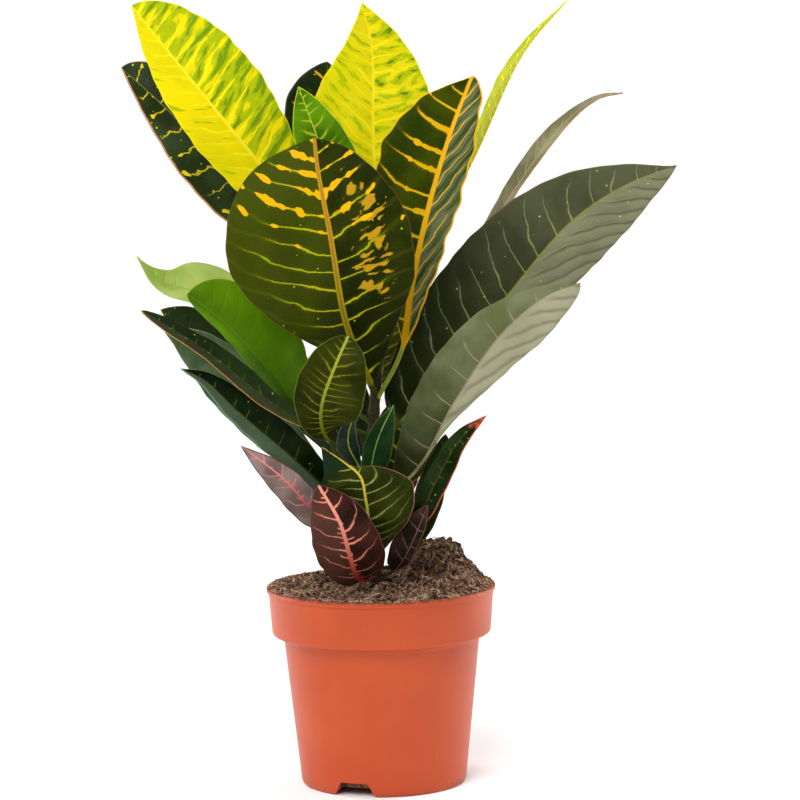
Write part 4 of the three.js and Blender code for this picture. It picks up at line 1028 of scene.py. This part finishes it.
STEM_SIDES, STEM_RINGS = 28, 230
turns = np.arange(STEM_SIDES) * 2 * np.pi / STEM_SIDES
scars = [leaf.start - 3 for leaf in LEAVES.values()]
rows = []
for z in np.linspace(STEM["foot"], STEM["top"], STEM_RINGS):
    x, y, _ = stem_point(z)
    share = (z - STEM["foot"]) / (STEM["top"] - STEM["foot"])
    radius = STEM["root_radius"] + (STEM["top_radius"] - STEM["root_radius"]) * share
    radius += sum(0.35 * math.exp(-(((z - scar) / 1.3) ** 2)) for scar in scars)
    bumps = [0.25 * noise.fractal((*polar(3, t), z * 0.12), 0.8, 2, 3) for t in turns]
    out = [polar(radius + bump, t) for t, bump in zip(turns, bumps)]
    rows.append([(x + dx, y + dy, z) for dx, dy in out])
add_piece("stem_bark", np.array(rows).reshape(-1, 3), tube_faces(STEM_RINGS, STEM_SIDES), [stem_paint()],
          "stem")

# ---------------------------------------------------------------- floor, light and camera
FLOOR_HALF = 40
floor = new_object("floor", bpy.data.meshes.new("floor"))
corners = ((-1, -1), (1, -1), (1, 1), (-1, 1))
floor.data.from_pydata([(x * FLOOR_HALF, y * FLOOR_HALF, 0) for x, y in corners], [], [(0, 1, 2, 3)])
floor_look = Paint("floor")
floor_look.color = (0.98, 0.98, 0.98)
floor.data.materials.append(floor_look.finish(0.0, 1.0, 0.0, 0.0))


def add_light(name, kind, energy, position, aim=(0, 0, 0.22), **settings):
    data = bpy.data.lights.new(name, kind)
    data.energy = energy
    for key, value in settings.items():
        setattr(data, key, value)
    made = new_object(name, data)
    made.location = position
    made.rotation_euler = (Vector(aim) - Vector(position)).to_track_quat("-Z", "Y").to_euler()


add_light("key", "SUN", 2.5, (-0.9, -2.1, 2.3), angle=math.radians(40))
add_light("top", "SUN", 1.0, (0.5, 0.4, 2.5), angle=math.radians(60))
add_light("left_strip", "AREA", 9, (-1.1, 0.5, 0.5), shape="RECTANGLE", size=0.5, size_y=1.2)
add_light("right_strip", "AREA", 11, (1.1, 0.5, 0.5), shape="RECTANGLE", size=0.5, size_y=1.2)

# The camera sees a brighter white than the one that lights the plant.
SEEN_STRENGTH, LIT_STRENGTH = 1.1, 0.28
world = bpy.data.worlds.new("studio")
world.use_nodes = True
bpy.context.scene.world = world
tree = world.node_tree
seen = tree.nodes["Background"]
lit = tree.nodes.new("ShaderNodeBackground")
seen.inputs["Color"].default_value = lit.inputs["Color"].default_value = (1, 1, 1, 1)
seen.inputs["Strength"].default_value, lit.inputs["Strength"].default_value = SEEN_STRENGTH, LIT_STRENGTH
path, either = tree.nodes.new("ShaderNodeLightPath"), tree.nodes.new("ShaderNodeMixShader")
tree.links.new(path.outputs["Is Camera Ray"], either.inputs[0])
tree.links.new(lit.outputs[0], either.inputs[1])
tree.links.new(seen.outputs[0], either.inputs[2])
tree.links.new(either.outputs[0], tree.nodes["World Output"].inputs["Surface"])

CAMERA_AT = (-0.0014, -2.005, 0.442)
PITCH, ROLL = math.radians(-6.45), math.radians(-0.96)
SENSOR_WIDTH, FOCAL_LENGTH = 36, 158.7
level = Matrix.Rotation(math.pi / 2 + PITCH, 4, "X")
camera = new_object("camera", bpy.data.cameras.new("camera"))
camera.data.sensor_width, camera.data.lens = SENSOR_WIDTH, FOCAL_LENGTH
camera.matrix_world = Matrix.Translation(CAMERA_AT) @ level @ Matrix.Rotation(ROLL, 4, "Z")
bpy.context.scene.camera = camera
bpy.context.scene.view_settings.view_transform = "Standard"
